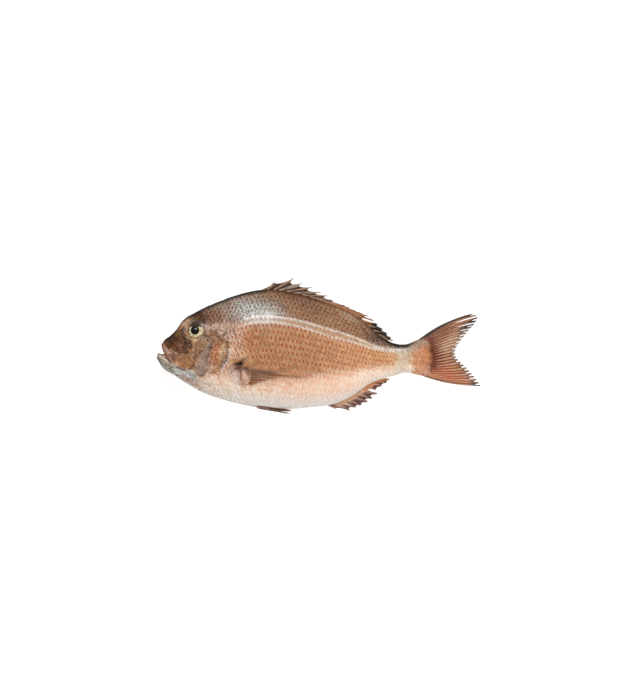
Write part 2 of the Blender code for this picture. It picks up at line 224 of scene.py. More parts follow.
# The pale lines along both sides of the lateral line, as (x, distance over it).
PALE_LINES = (
    curve_through((
        (-92, 2.6), (-20, 2.6), (8, 2.0), (45, 1.8), (60, 0), (78, -0.8), (96, 0.4), (112, 0.5),
    )),
    curve_through((
        (-92, -2.8), (-45, -3.4), (-5, -4.6), (12, -5.6), (30, -4.4),
        (47, -3), (60, -3), (78, -2.8), (96, -1.2), (112, -1),
    )),
)
pale_paths = [[(x, lateral_y(x) + over_line(x)) for x in range(-81, 100, 8)] for over_line in PALE_LINES]
# The outline of the band of scales along the rear edge of the gill cover.
SCALY_BAND = (
    (-99, 12), (-94, 12), (-92.5, -8), (-97, -21), (-106, -31), (-116, -42),
    (-128, -48), (-127, -43), (-114, -36), (-103, -24), (-97, -10),
)
# The pigment of the skin is laid over the colour of the trunk, from the first row to the last.
# Plates are areas with a clear outline: colour, outline, softness of the edge, and strength.
PLATES = (
    # nape: brown in front, then silver scales
    ("#4f2f1a", ((-146, 29), (-128, 42), (-110, 49), (-98, 47),
                 (-97, 36), (-106, 24), (-126, 22), (-140, 22)), 4, 0.9),
    ("#6e5444", ((-108, 42), (-84, 54), (-48, 58), (-35, 46), (-38, 28),
                 (-60, 28.5), (-86, 26), (-97, 24), (-104, 32)), 5, 0.9),
    ("#6b3716", ((-126, 37), (-114, 40), (-104, 34), (-101, 25), (-112, 26), (-120, 30)), 3, 0.75),
    # gill cover: cheek, fore plate, rear plate and the scaly band behind them
    ("#7a5238", ((-134, 16), (-118, 18), (-98, 22), (-92, 20),
                 (-92, 4), (-98, 2), (-116, 2), (-131, 4)), 3, 0.8),
    ("#8a6147", ((-150, -2), (-141, -9), (-134, 1), (-126, 4), (-124, -4),
                 (-134, -14), (-140, -20), (-152, -14)), 2.5, 0.8),
    ("#a0683e", ((-158, -18), (-150, -15), (-141, -12), (-136, -16),
                 (-137, -23), (-143, -26.5), (-153, -24.5)), 1.6, 0.9),
    ("#96796d", ((-122, 5), (-117, 2), (-121, -10), (-123, -20), (-125, -34),
                 (-138, -36), (-137, -27), (-133, -14), (-127, -4)), 2, 0.95),
    ("#ab6f45", ((-116, 4), (-106, 5), (-100, -2), (-100, -11), (-104, -21),
                 (-111, -29), (-120, -34), (-120, -14)), 1.6, 0.95),
    ("#bd8c66", SCALY_BAND, 1.6, 0.55),
    # snout, lower jaw and throat
    ("#4e280c", ((-176, 2), (-160, 16), (-150, 20), (-144.5, 9), (-137.5, 1),
                 (-146, -9), (-157, -10.5), (-166, -4)), 2, 0.95),
    ("#a9a29b", ((-182, -12), (-174, -8), (-166, -17), (-154, -26),
                 (-140, -29), (-134, -40), (-150, -42), (-172, -30)), 2, 0.95),
    ("#ccd0cf", ((-160, -23), (-150, -27), (-138, -29), (-136, -34), (-148, -36), (-158, -30)), 2, 0.8),
    # tail root
    ("#cdb7a4", ((84, 1), (98, 1), (101, -12), (97, -30), (82, -34), (85, -16)), 5, 0.85),
    ("#b56e45", ((107, 8), (128, 8), (128, -36), (101, -36), (107, -14)), 4, 0.95),
    ("#c98a64", ((108, -3), (116, -4), (117, -22), (108, -26)), 5, 0.7),
    ("#5f2a10", ((119, 8), (130, 8), (130, -30), (121, -30), (123.5, -14)), 4, 1.0),
    ("#94806f", ((98, -1), (110, -3), (122, 4), (114, 9), (104, 9)), 4, 0.85),
)
# Patches have soft edges: colour, centre, radii, turn in degrees, and strength.
PATCHES = (
    # back, tail root and belly
    ("#4a270f", (-18, 50), (30, 7), -20, 0.75),
    ("#ac9a86", (33, 31), (13, 3.6), -30, 0.55),
    ("#54321c", (58, 12), (22, 7), -32, 0.7),
    ("#2e170b", (62, 6), (13, 5), -30, 1.0),
    ("#b5a498", (92, -3), (11, 4.5), 0, 0.9),
    ("#2c170b", (76, 4), (17, 5), -28, 0.95),
    ("#fbdec9", (20, -40), (46, 12), 8, 0.75),
    ("#e6e0da", (-20, -66), (40, 5), 2, 0.6),
    ("#efd6c4", (60, -32), (24, 8), 22, 0.5),
    ("#cf9667", (66, -16), (22, 7), 0, 0.4),
    ("#b98a62", (-82, -8), (8, 8), 0, 0.6),
    # snout and brow
    ("#7d5439", (-153.5, -1.5), (4.5, 5), 20, 0.75),
    ("#6c4526", (-160, -3), (3, 4), 20, 0.6),
    ("#3a1f0c", (-145, 4), (4, 6), 20, 0.7),
    ("#7a5a49", (-161, -12), (4.5, 5), -30, 0.9),
    ("#33200c", (-163, 8), (8, 4), 45, 0.7),
    ("#74581f", (-156, 13.5), (4, 2.4), 40, 0.8),
    ("#cfae88", (-147, 26.4), (5, 3.4), 45, 0.95),
    ("#5f5038", (-139, 29.5), (5, 2.2), 30, 0.8),
    ("#7f7264", (-116, 43), (7, 2.5), 28, 0.6),
    ("#a08c7e", (-107, 41), (5, 3.5), 20, 0.5),
    ("#8f7468", (-104, 30), (4, 9), 15, 0.7),
    ("#8b7260", (-112, 24), (3, 5), 20, 0.6),
    ("#9b8587", (-148.3, 19), (1.3, 5), -14, 0.8),
    # Dark skin over the top of the eye, with the shade of the brow painted on it.
    ("#150b05", (-135, 24.6), (9, 3), 8, 1.0),
    # behind and below the eye
    ("#b7a6a2", (-129, 22), (2.2, 1.6), 0, 0.6),
    ("#b08c6e", (-145, 27), (6, 4), 40, 0.5),
    ("#6f4026", (-120, 13), (6, 6), 0, 0.45),
    ("#a2908c", (-122.5, 20.5), (8, 3), -8, 0.75),
    ("#86502a", (-119.5, 22.5), (2.6, 2.2), 0, 0.8),
    ("#b98f60", (-103, 20), (3, 4), 0, 0.7),
    ("#8c8070", (-128, 9), (4, 3), 20, 0.7),
    ("#9a7a4e", (-130, -1), (8, 1.4), 30, 0.6),
    ("#6c4325", (-106, 12), (7, 5), 0, 0.5),
    # gill cover and throat
    ("#8f4a1e", (-112, 0), (6, 4), 0, 0.7),
    ("#a8551f", (-115, -14), (3.2, 13), -6, 0.85),
    ("#bfa67c", (-106, -8), (3, 8), -10, 0.85),
    ("#6f5f48", (-105, -18), (2.6, 7), -28, 0.85),
    # Painted shade in the gap behind the edge of the gill cover.
    ("#5f4432", (-101.6, -4), (1.6, 6), 0, 0.7),
    ("#d2a48c", (-118.6, -24), (1.5, 9), -12, 0.7),
    ("#c59a80", (-119, -27), (2.5, 8), -12, 0.7),
    ("#6c5450", (-120.5, -1), (2, 7), -14, 0.6),
    ("#a98a7c", (-130, -22), (3, 6), -20, 0.5),
    ("#786a60", (-176, -15), (2.5, 4), 0, 0.7),
    ("#8f6a58", (-170, -17), (3, 3), 0, 0.5),
    ("#cfab9c", (-140, -42), (16, 4), -32, 0.8),
    ("#dcbfa9", (-112, -49), (17, 6), -28, 0.6),
    ("#b98f80", (-85, -34), (9, 9), 20, 0.95),
    ("#e8d6cc", (-91, -36), (3.5, 6), 10, 0.85),
    ("#dfb9a6", (-82, -32), (3, 6), 10, 0.75),
    # Painted shade on the rear of the fleshy root of the pectoral fin.
    ("#5a3426", (-76, -33), (3, 8), 20, 0.65),
    # Painted shadow under the fold over the fleshy root of the pectoral fin.
    ("#4a2f2a", (-83, -26), (9, 2.6), 0, 0.75),
    ("#a5643c", (-82, -43), (6, 1.6), -10, 0.7),
    # Painted shade, grey, in front of the fleshy root of the pectoral fin.
    ("#9c8c84", (-95, -27), (4, 5), 0, 0.6),
    ("#5a2c12", (-117, 30), (10, 5), 25, 0.75),
    ("#b5622c", (-78, 8), (9, 14), 10, 0.35),
)
# Streaks are lines and edges: colour, path, half width, and strength.
STREAKS = (
    ("#a8968a", LATERAL_LINE[1:-1], 3.6, 0.4),
    ("#d0c6bd", pale_paths[0], 1.0, 0.65),
    ("#c8bbb0", pale_paths[1], 1.3, 0.5),
    # Painted shade in two grooves between the bones of the head.
    ("#4d2f2c", GROOVES[0][0], 0.9, 0.75),
    ("#3a241b", GROOVES[1][0], 0.8, 0.85),
    # Painted highlight along the lower edge of the bone over the snout.
    ("#cdb3a8", ((-164, -3.5), (-160, -7), (-154, -10), (-150, -9.5)), 0.6, 0.55),
    # Painted shade, faint, in the groove below the cheek.
    ("#3f2b20", GROOVES[3][0], 0.7, 0.35),
    ("#d7c3bb", ((-121, -14), (-122.5, -22), (-120, -33)), 0.8, 0.6),
    # Painted shade in the gap behind the edge of the gill cover.
    ("#3c241c", ((-101, 4), (-99.4, -2), (-100, -10), (-103.3, -19.3), (-109.5, -28.5)), 0.7, 0.8),
    ("#dccdd0", ((-98.4, -4), (-98.6, -10), (-101.2, -18), (-106.8, -26.5)), 0.8, 0.85),
    # Painted shade in the crease of the fleshy root of the pectoral fin.
    ("#5a3329", ((-86.6, -27), (-85.4, -31), (-86.6, -37)), 0.8, 0.85),
    # Painted shadow under the fold over the fleshy root of the pectoral fin.
    ("#2c1710", ((-92, -25), (-88, -24.2), (-83, -24), (-75, -25.4)), 1.2, 0.85),
    # Painted shade in the pit above the root of the pectoral fin, and in a slit behind it.
    ("#030201", ((-90.6, -20.8), (-88, -20.2), (-86, -20)), 2.7, 1.0),
    ("#140b06", ((-85.8, -17.2), (-83.5, -16.2), (-80.6, -14.2)), 1.1, 0.9),
    ("#d5c096", ((-146, 9.5), (-141.5, 6.4), (-136, 5.6), (-130.5, 8)), 0.7, 0.8),
    ("#a98a86", ((-144.5, 25.8), (-137, 27.6), (-130, 25.6)), 0.6, 0.25),
)


def lay(colour, hex_colour, weight):
    """Lays more of a colour over the others, by weight."""
    colour += (linear(hex_colour) - colour) * np.asarray(weight)[..., None]


def uneven(x, y):
    """The place moved a little, so that the edges of patches aren't smooth."""
    return (
        x + 0.9 * np.sin(0.75 * y + 0.4 * x) + 0.5 * np.sin(1.9 * y - 1.1 * x + 2),
        y + 0.9 * np.sin(0.8 * x - 0.5 * y + 1) + 0.5 * np.sin(2.1 * x + 1.3 * y),
    )


def within(x, y, outline, soft):
    """1 inside a closed outline, fading to 0 outside it."""
    crossings = np.zeros(np.shape(x), int)
    for (ax, ay), (bx, by) in zip(outline, (*outline[1:], outline[0])):
        if ay != by:
            crossings += ((ay > y) != (by > y)) & (x < ax + (y - ay) * (bx - ax) / (by - ay))
    away = off_path(x, y, (*outline, outline[0])) * np.where(crossings % 2, -1, 1)
    return smooth_step(soft, -soft, away)


def ground(x, hex_colour):
    """One linear colour at every place."""
    return np.broadcast_to(linear(hex_colour), (*np.shape(x), 3)).copy()


def lay_patches(colour, x, y, patches):
    for hex_colour, centre, radii, turn, strength in patches:
        lay(colour, hex_colour, strength * blob(x, y, centre, radii, turn))


def lay_streaks(colour, x, y, streaks):
    for hex_colour, path, width, strength in streaks:
        lay(colour, hex_colour, strength * ridge(off_path(x, y, path), 0, width))


def pigment(x, y):
    """Linear colour of the skin at (x, y)."""
    rise = rise_of(x, y)
    colour = ground(x, "#b07c57")
    lay(colour, "#cb9268", smooth_step(-20, 45, x))
    lay(colour, "#774a28", smooth_step(1, 6, y - lateral_y(x)))
    lay(colour, "#875a37", smooth_step(1, 6, y - lateral_y(x)) * smooth_step(-20, 20, x))
    lay(colour, "#ecc6ac", 1 - smooth_step(-0.66, -0.3, rise))
    lay(colour, "#e8dcd3", 1 - smooth_step(-0.92, -0.6, rise))
    edge_x, edge_y = uneven(x, y)
    for hex_colour, outline, soft, strength in PLATES:
        lay(colour, hex_colour, strength * within(edge_x, edge_y, outline, soft))
    lay_patches(colour, edge_x, edge_y, PATCHES)
    lay_streaks(colour, x, y, STREAKS)
    # Near black along the edge of the back: dark pigment there, and painted shade where the body rounds
    # away from the light.
    edge_width = 4 + 2 * smooth_step(-150, -128, x)
    at_back = smooth_step(edge_width, edge_width / 3, back_y(x) - y) * smooth_step(-178, -170, x)
    under_fin = smooth_step(-66, -50, x) * smooth_step(72, 60, x)
    lay(colour, "#0f0704", 0.97 * at_back * (1 - smooth_step(96, 110, x)) * (1 - 0.85 * under_fin))
    return colour


def store_colour(mesh, name, colours):
    """Stores linear colours, one for each point of the mesh."""
    rgba = np.ones((len(mesh.vertices), 4))
    rgba[:, :3] = colours.reshape(-1, 3)
    mesh.attributes.new(name, "FLOAT_COLOR", "POINT").data.foreach_set("color", rgba.ravel())


def places_of(mesh):
    """x, y and z of each point of the mesh, in mm."""
    places = np.empty(len(mesh.vertices) * 3)
    mesh.vertices.foreach_get("co", places)
    return places.reshape(-1, 3).T / MM


def to_mesh(name, bm, smooth=True):
    """The finished mesh of what was built."""
    mesh = bpy.data.meshes.new(name)
    bm.to_mesh(mesh)
    bm.free()
    if smooth:
        mesh.shade_smooth()
    return mesh


def loft(name, rings, smooth=True):
    """A closed skin over rings of points in mm, with flat ends."""
    bm = bmesh.new()
    rings = [[bm.verts.new(Vector(place) * MM) for place in ring] for ring in rings]
    for ring, following in zip(rings, rings[1:]):
        for k in range(len(ring)):
            after = (k + 1) % len(ring)
            bm.faces.new((ring[k], ring[after], following[after], following[k]))
    bm.faces.new(rings[0][::-1])
    bm.faces.new(rings[-1])
    bmesh.ops.recalc_face_normals(bm, faces=bm.faces)
    return to_mesh(name, bm, smooth)


SKIN_ROUND = 224  # points round one section
stations = np.concatenate([
    np.linspace(-180, -174, 9)[:-1],
    np.linspace(-174, GILL_X - 2, 76)[:-1],
    np.linspace(GILL_X - 2, GILL_X + 2, 9)[:-1],
    np.linspace(GILL_X + 2, 127, 190),
])
angles = np.linspace(0, 2 * math.pi, SKIN_ROUND, endpoint=False)
bent = smooth_step(GILL_FRONT, GILL_X, stations) * (1 - smooth_step(GILL_X, GILL_REAR, stations))
skin_points = skin_point(stations[:, None] + bent[:, None] * gill_bend(np.cos(angles)), angles[None, :])


def add_object(name, mesh, *materials):
    """An object of the mesh in the scene, with its materials."""
    made = bpy.data.objects.new(name, mesh)
    bpy.context.scene.collection.objects.link(made)
    for material in materials:
        mesh.materials.append(material)
    return made


def material(name, roughness, **settings):
    """A Principled material with its values set, and its shader and node tree."""
    made = bpy.data.materials.new(name)
    made.use_nodes = True
    shader = made.node_tree.nodes["Principled BSDF"]
    shader.inputs["Roughness"].default_value = roughness
    for key, value in settings.items():
        shader.inputs[key.replace("_", " ")].default_value = value
    return made, shader, made.node_tree


def link_surface(tree, shader, base, normal):
    """Links colour and bump to a shader, and the bump to its wet coat as well."""
    tree.links.new(base, shader.inputs["Base Color"])
    tree.links.new(normal, shader.inputs["Normal"])
    tree.links.new(normal, shader.inputs["Coat Normal"])


def add(tree, kind, links=None, out=0, stops=(), **settings):
    """Adds a node with its settings, and gives the output named or numbered by out. links gives
    its inputs, as values or as sockets to link, and stops a ramp's places and hex colours."""
    made = tree.nodes.new(kind)
    for key, value in settings.items():
        setattr(made, key, value)
    for key, value in (links or {}).items():
        if isinstance(value, bpy.types.NodeSocket):
            tree.links.new(value, made.inputs[key])
        else:
            made.inputs[key].default_value = value
    while stops and len(made.color_ramp.elements) < len(stops):
        made.color_ramp.elements.new(0.5)
    for element, (place, hex_colour) in zip(made.color_ramp.elements if stops else (), stops):
        element.position = place
        element.color = (*linear(hex_colour), 1)
    return made.outputs[out] if made.outputs else made


MIX = {"data_type": "RGBA"}
OVERLAY, MULTIPLY = {**MIX, "blend_type": "OVERLAY"}, {**MIX, "blend_type": "MULTIPLY"}
WET = {"Coat_Roughness": 0.12, "Coat_IOR": 1.34}  # a film of slime, with the IOR of water
# Wet fish hide: slimy, so it has a thin glossy coat over a dull skin. It is blotched in patches
# of about 5 mm, and has small dark dots, one for each of the tiny scales in it, and pale specks.
hide, shader, tree = material("wet_fish_hide", 0.45, Specular_IOR_Level=0.1, Coat_Weight=0.3, **WET)
place = add(tree, "ShaderNodeTexCoord", out="Object")
blotches = {"Vector": place, "Scale": 1 / (4.5 * MM), "Detail": 6, "Roughness": 0.78}
blotches = add(tree, "ShaderNodeTexNoise", blotches)
mottle = add(tree, "ShaderNodeValToRGB", {0: blotches}, stops=(
    (0.36, "#86705f"), (0.5, "#bcbcbc"), (0.64, "#e6efec"),
))
base = add(tree, "ShaderNodeAttribute", attribute_name="pigment")
marks = add(tree, "ShaderNodeAttribute", attribute_name="marks")
smooth = add(tree, "ShaderNodeSeparateColor", {0: marks}, "Blue")
blotched = add(tree, "ShaderNodeMath", {0: 1.0, 1: smooth}, operation="SUBTRACT")
base = add(tree, "ShaderNodeMix", {0: blotched, 6: base, 7: mottle}, 2, **OVERLAY)
dot_strength = add(tree, "ShaderNodeSeparateColor", {0: marks}, "Red")
speck_strength = add(tree, "ShaderNodeSeparateColor", {0: marks}, "Green")
cells = {"Vector": place, "Scale": 1 / (1.7 * MM)}
from_dot = add(tree, "ShaderNodeTexVoronoi", cells, "Distance")
kind_of_dot = add(tree, "ShaderNodeTexVoronoi", cells, "Color")
kind_of_dot = add(tree, "ShaderNodeSeparateColor", {0: kind_of_dot}, "Red")
dots = add(tree, "ShaderNodeMapRange", {0: from_dot, 1: 0.5, 2: 0.2, 3: 0.0, 4: 0.75})
dots = add(tree, "ShaderNodeMath", {0: dots, 1: kind_of_dot}, operation="MULTIPLY")
dots = add(tree, "ShaderNodeMath", {0: dots, 1: dot_strength}, operation="MULTIPLY")
dark = add(tree, "ShaderNodeMix", {0: 1.0, 6: base, 7: (*linear("#7a6450"), 1)}, 2, **MULTIPLY)
base = add(tree, "ShaderNodeMix", {0: dots, 6: base, 7: dark}, 2, **MIX)
specks = {"Vector": place, "Scale": 1 / (1.25 * MM), "Detail": 3, "Roughness": 0.7}
specks = add(tree, "ShaderNodeTexNoise", specks)
specks = add(tree, "ShaderNodeMapRange", {0: specks, 1: 0.52, 2: 0.66})
specks = add(tree, "ShaderNodeMath", {0: specks, 1: speck_strength}, operation="MULTIPLY")
base = add(tree, "ShaderNodeMix", {0: specks, 6: base, 7: (*linear("#e6d8c6"), 1)}, 2, **MIX)
height = add(tree, "ShaderNodeMath", {0: from_dot, 1: blotches}, operation="ADD")
normal = add(tree, "ShaderNodeBump", {"Height": height, "Distance": 0.2 * MM, "Strength": 0.35})
link_surface(tree, shader, base, normal)

# The flesh inside the mouth: pale pink and very wet.
gullet, shader, tree = material("mouth_lining", 0.3, IOR=1.4, Coat_Weight=0.6, Coat_Roughness=0.1)
place = add(tree, "ShaderNodeTexCoord", out="Object")
folds = add(tree, "ShaderNodeTexNoise", {"Vector": place, "Scale": 1 / (2.5 * MM), "Detail": 3})
base = add(tree, "ShaderNodeValToRGB", {0: folds}, stops=((0.35, "#8a4f42"), (0.65, "#d2a08c")))
normal = add(tree, "ShaderNodeBump", {"Height": folds, "Distance": 0.5 * MM})
link_surface(tree, shader, base, normal)

skin = add_object("skin", loft("skin", skin_points), hide, gullet)

# ---- Mouth -------------------------------------------------------------------------------
# The jaws are open. The gap goes right through the snout and narrows to the corners, with a
# hollow gullet behind it. It is cut from the skin, and what is cut gets the wet lining.

MOUTH_CORNER, UPPER_LIP, LOWER_LIP = (-165.0, -17.0), (-174.2, 1.8), (-177.6, -8.8)
GULLET_CENTRE, GULLET_RADII = (-164, -9.5, MIDDLE_HEIGHT), (10, 4.6, 6.5)
SPECKLED = (  # where the head has more pale specks: centre and radii
    ((-126, 19), (12, 5)), ((-128, 6), (9, 4)), ((-105, 20), (8, 8)), ((-106, -8), (5, 11)),
    ((-113, -16), (5, 14)), ((-112, 42), (12, 5)), ((-150, -30), (14, 5)),
)


outline = (MOUTH_CORNER, UPPER_LIP, (-190, 6), (-190, -11), LOWER_LIP)
gap = [[(x, y, z) for x, y in outline] for z in (0, 2 * MIDDLE_HEIGHT)]
mouth_gap = add_object("mouth_gap", loft("mouth_gap", gap, smooth=False), gullet)
bm = bmesh.new()
bmesh.ops.create_uvsphere(bm, u_segments=32, v_segments=20, radius=1)
for vert in bm.verts:
    vert.co = Vector([(c + v * r) * MM for c, v, r in zip(GULLET_CENTRE, vert.co, GULLET_RADII)])
gullet_hollow = add_object("gullet_hollow", to_mesh("gullet_hollow", bm, smooth=False), gullet)


def made_plain(obj):
    """Replaces the object's mesh by its modified one and takes the modifiers off."""
    graph = bpy.context.evaluated_depsgraph_get()
    mesh = bpy.data.meshes.new_from_object(obj.evaluated_get(graph), depsgraph=graph)
    obj.modifiers.clear()
    obj.data = mesh
    return mesh


def paint(mesh):
    """Stores the skin's pigment at each point of the mesh."""
    x, y, _ = places_of(mesh)
    store_colour(mesh, "pigment", pigment(x, y))


for cutter in (mouth_gap, gullet_hollow):
    boolean = skin.modifiers.new("cut", "BOOLEAN")
    boolean.operation, boolean.solver, boolean.material_mode = "DIFFERENCE", "MANIFOLD", "TRANSFER"
    boolean.object = cutter
made_plain(skin)
paint(skin.data)
x, y, _ = places_of(skin.data)
on_cheek = smooth_step(-160, -140, x) * smooth_step(-92, -98, x) * smooth_step(30, 20, y)
on_band = within(x, y, SCALY_BAND, 2)
dots_and_specks = np.zeros((len(x), 3))
dots_and_specks[:, 0] = 0.25 + 0.75 * on_cheek
dots_and_specks[:, 1] = 0.12 + 0.7 * on_band + 0.33 * on_cheek
for centre, radii in SPECKLED:
    dots_and_specks[:, 1] += 0.5 * blob(x, y, centre, radii)
dots_and_specks[:, 1] *= 1 - blob(x, y, AXIL, (7, 4), 8)
dots_and_specks[:, 1] *= 0.15 + 0.85 * smooth_step(2, 6, back_y(x) - y)
dots_and_specks[:, 2] = 0.7 * blob(x, y, PECTORAL_PAD[0], (9, 10), 20)
store_colour(skin.data, "marks", np.minimum(dots_and_specks, 1))
for cutter in (mouth_gap, gullet_hollow):
    bpy.data.objects.remove(cutter)
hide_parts("body")
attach(skin, "root")

# ---- Lips and jaw bones ------------------------------------------------------------------
# A fleshy lip goes round the edge of each jaw, and the tongue lies between them. On each side
# a flat bone, the maxilla, hangs from the upper jaw over the corner of the mouth.

AROUND_TUBE = 16  # points round a lip, the tongue or a jaw bone


def sweep(path, radii):
    """A closed tube along a path of points in mm, with (half width, half thickness) at each.
    The width lies in the plane of the fish's side."""
    ahead = np.gradient(path, axis=0)
    ahead /= np.linalg.norm(ahead, axis=1)[:, None]
    out = np.array([0, 0, 1.0]) - ahead * ahead[:, 2:]
    out = np.where(np.linalg.norm(out, axis=1)[:, None] < 0.3, [1.0, 0, 0], out)
    across = np.cross(ahead, out)
    across /= np.linalg.norm(across, axis=1)[:, None]
    out = np.cross(across, ahead)
    turns = [(math.cos(2 * math.pi * k / AROUND_TUBE), math.sin(2 * math.pi * k / AROUND_TUBE))
             for k in range(AROUND_TUBE)]
    return loft("sweep", [
        [point + side * width * c + up * thick * s for c, s in turns]
        for point, side, up, (width, thick) in zip(path, across, out, radii)
    ])


def through(points, count):
    """A smooth path of count points through a few points of any dimension."""
    points = np.array(points, float)
    along = np.concatenate([[0], np.cumsum(np.linalg.norm(np.diff(points, axis=0), axis=1))])
    t = np.linspace(0, along[-1], count)
    return np.stack([curve_through(np.column_stack([along, column]))(t) for column in points.T], axis=-1)


def round_the_jaw(line, inset):
    """A path from the right corner of the mouth round the front to the left corner. line goes
    from the corner to the front, as (x, y), and lies this far inside the skin."""
    line = through(line, 14)
    left = np.column_stack([line, skin_z(line[:, 0], line[:, 1], 1, -inset)])
    right = np.column_stack([line, skin_z(line[:, 0], line[:, 1], -1, -inset)])
    return np.concatenate([right, left[::-1]])


# Lips are soft wet skin, and the skin over the maxilla is tight and thin. All three are mottled
# in three tones, in spots of about 2 mm that stretch along the bone of the maxilla.
jaw_finishes = {}
for name, size, stretch, tones in (
    ("fish_lip", 2.0, (1, 1, 1), ("#70371f", "#93522f", "#b87d5a")),
    ("pale_jaw_skin", 2.4, (1, 1, 1), ("#a39484", "#c9b7a0", "#e2d2b8")),
    ("skin_over_jaw_bone", 1.6, (3, 1, 1), ("#6a463a", "#906a59", "#bf9a8a")),
):
    made = material(name, 0.35, IOR=1.4, Coat_Weight=0.5, Coat_Roughness=0.15)
    jaw_finishes[name], shader, tree = made
    place = add(tree, "ShaderNodeTexCoord", out="Object")
    place = add(tree, "ShaderNodeMapping", {
        "Vector": place, "Rotation": (0, 0, math.radians(-55)), "Scale": stretch,
    }, vector_type="TEXTURE")
    patches = add(tree, "ShaderNodeTexNoise", {"Vector": place, "Scale": 1 / (size * MM), "Detail": 4})
    base = add(tree, "ShaderNodeValToRGB", {0: patches}, stops=tuple(zip((0.3, 0.5, 0.72), tones)))
    grain = add(tree, "ShaderNodeTexNoise", {"Vector": place, "Scale": 1 / (0.9 * MM), "Detail": 3})
    normal = add(tree, "ShaderNodeBump", {"Height": grain, "Distance": 0.22 * MM})
    link_surface(tree, shader, base, normal)

upper = round_the_jaw(((-165.8, -16), (-168.8, -9.6), (-171.4, -3.6), (-172.8, 1)), 0.9)
lower = round_the_jaw(((-166, -18.8), (-170.4, -15.6), (-174.8, -12.6), (-177.6, -10.4)), 0.8)
swell = np.sin(np.linspace(0, math.pi, len(upper)))
tongue = round_the_jaw(((-166, -15), (-169.5, -13), (-172.6, -11)), 3.5)
for name, path, width, thickness, finish in (
    ("upper_lip", upper, 1.2 + 1.0 * swell, 1.3 + 0.5 * swell, jaw_finishes["fish_lip"]),
    ("lower_lip", lower, 0.9 + 1.1 * swell, 1.0 + 0.6 * swell, jaw_finishes["pale_jaw_skin"]),
    ("tongue", tongue, 1.4 + 0.6 * swell, 1.6 + 0.8 * swell, gullet),
):
    piece = add_object(name, sweep(path, np.column_stack([width, thickness])), finish)
    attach(piece, "root")

MAXILLA = ((-172.6, 2.6), (-169.6, -3.2), (-166.4, -9.4), (-164, -14.6), (-162.8, -19.6))
for side_name, side in (("left", 1), ("right", -1)):
    line = through(MAXILLA, 18)
    path = np.column_stack([line, skin_z(line[:, 0], line[:, 1], side, -0.25)])
    widen = np.interp(np.linspace(0, 1, 18), (0, 0.25, 0.7, 0.9, 1), (0.7, 1.5, 3.0, 2.5, 0.5))
    bone = sweep(path, np.column_stack([widen, np.minimum(widen, 0.95)]))
    maxilla = add_object("maxilla_" + side_name, bone, jaw_finishes["skin_over_jaw_bone"])
    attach(maxilla, "root")

# ---- Eyes --------------------------------------------------------------------------------
# A flattened eyeball behind a clear, wet cornea: a black pupil in a thin gold ring, a cream
# iris flecked with grey, and a dark rim where it goes under the skin.

EYE_DOME = (9.8, 9.0, 6.4)
PUPIL_OFF = (-1.1, 1.6)  # the pupil sits a little in front of the middle and above it
EYE_SUNK = 4.2  # depth of the eyeball's middle under the skin
GIRTH_AT_EYE = 0.93  # half the girth at the height of the eye, over the greatest
CORNEA_BULGE, CORNEA_AREA = 0.5, 22  # how far the cornea stands out, over how many square mm
# Each change of tone on the eye starts at one distance and is full at the other: the flecks of
# the iris from the pupil's middle, the rim from the eye's, and the shade of the brow above it.
FLECKS_FROM, RIM_FROM, SHADE_FROM = (5.1, 6.0), (7.6, 8.8), (4.7, 5.9)

# The eye under its cornea: sharp wet gloss over rings of tone round the pupil, with flecks of
# about 2 mm in the iris.
eyeball, shader, tree = material(
    "eye_under_wet_cornea", 0.4, IOR=1.376, Specular_IOR_Level=0.2, Coat_Weight=0.8,
    Coat_Roughness=0.1, Coat_IOR=1.34,
)
place = add(tree, "ShaderNodeTexCoord", out="Object")
flat = add(tree, "ShaderNodeVectorMath", {0: place, 1: (1, 1, 0)}, operation="MULTIPLY")
middle = (EYE_CENTRE[0] * MM, EYE_CENTRE[1] * MM, 0)
pupil = ((EYE_CENTRE[0] + PUPIL_OFF[0]) * MM, (EYE_CENTRE[1] + PUPIL_OFF[1]) * MM, 0)
from_pupil = add(tree, "ShaderNodeVectorMath", {0: flat, 1: pupil}, "Value", operation="DISTANCE")
from_middle = add(tree, "ShaderNodeVectorMath", {0: flat, 1: middle}, "Value", operation="DISTANCE")
near_pupil = add(tree, "ShaderNodeMapRange", {0: from_pupil, 2: 10 * MM})
rings = add(tree, "ShaderNodeValToRGB", {0: near_pupil}, stops=(
    (0, "#05070b"), (0.43, "#070606"), (0.46, "#4a3517"), (0.5, "#cdb070"), (0.56, "#e3d6b2"),
))
flecks = add(tree, "ShaderNodeTexNoise", {"Vector": place, "Scale": 1 / (2.4 * MM), "Detail": 5})
iris = add(tree, "ShaderNodeValToRGB", {0: flecks}, stops=(
    (0.34, "#6a624c"), (0.46, "#c4b28c"), (0.54, "#e6d8b4"), (0.66, "#f8f0dc"),
))
past_ring = {0: from_pupil, 1: FLECKS_FROM[0] * MM, 2: FLECKS_FROM[1] * MM}
past_ring = add(tree, "ShaderNodeMapRange", past_ring)
base = add(tree, "ShaderNodeMix", {0: past_ring, 6: rings, 7: iris}, 2, **MIX)
in_rim = add(tree, "ShaderNodeMapRange", {0: from_middle, 1: RIM_FROM[0] * MM, 2: RIM_FROM[1] * MM})
base = add(tree, "ShaderNodeMix", {0: in_rim, 6: base, 7: (*linear("#4a3422"), 1)}, 2, **MIX)
up = add(tree, "ShaderNodeSeparateXYZ", {0: place}, "Y")
in_shade = add(tree, "ShaderNodeMapRange", {
    0: up, 1: (EYE_CENTRE[1] + SHADE_FROM[0]) * MM, 2: (EYE_CENTRE[1] + SHADE_FROM[1]) * MM, 4: 0.95,
})
base = add(tree, "ShaderNodeMix", {0: in_shade, 6: base, 7: (*linear("#1c110a"), 1)}, 2, **MIX)
tree.links.new(base, shader.inputs["Base Color"])
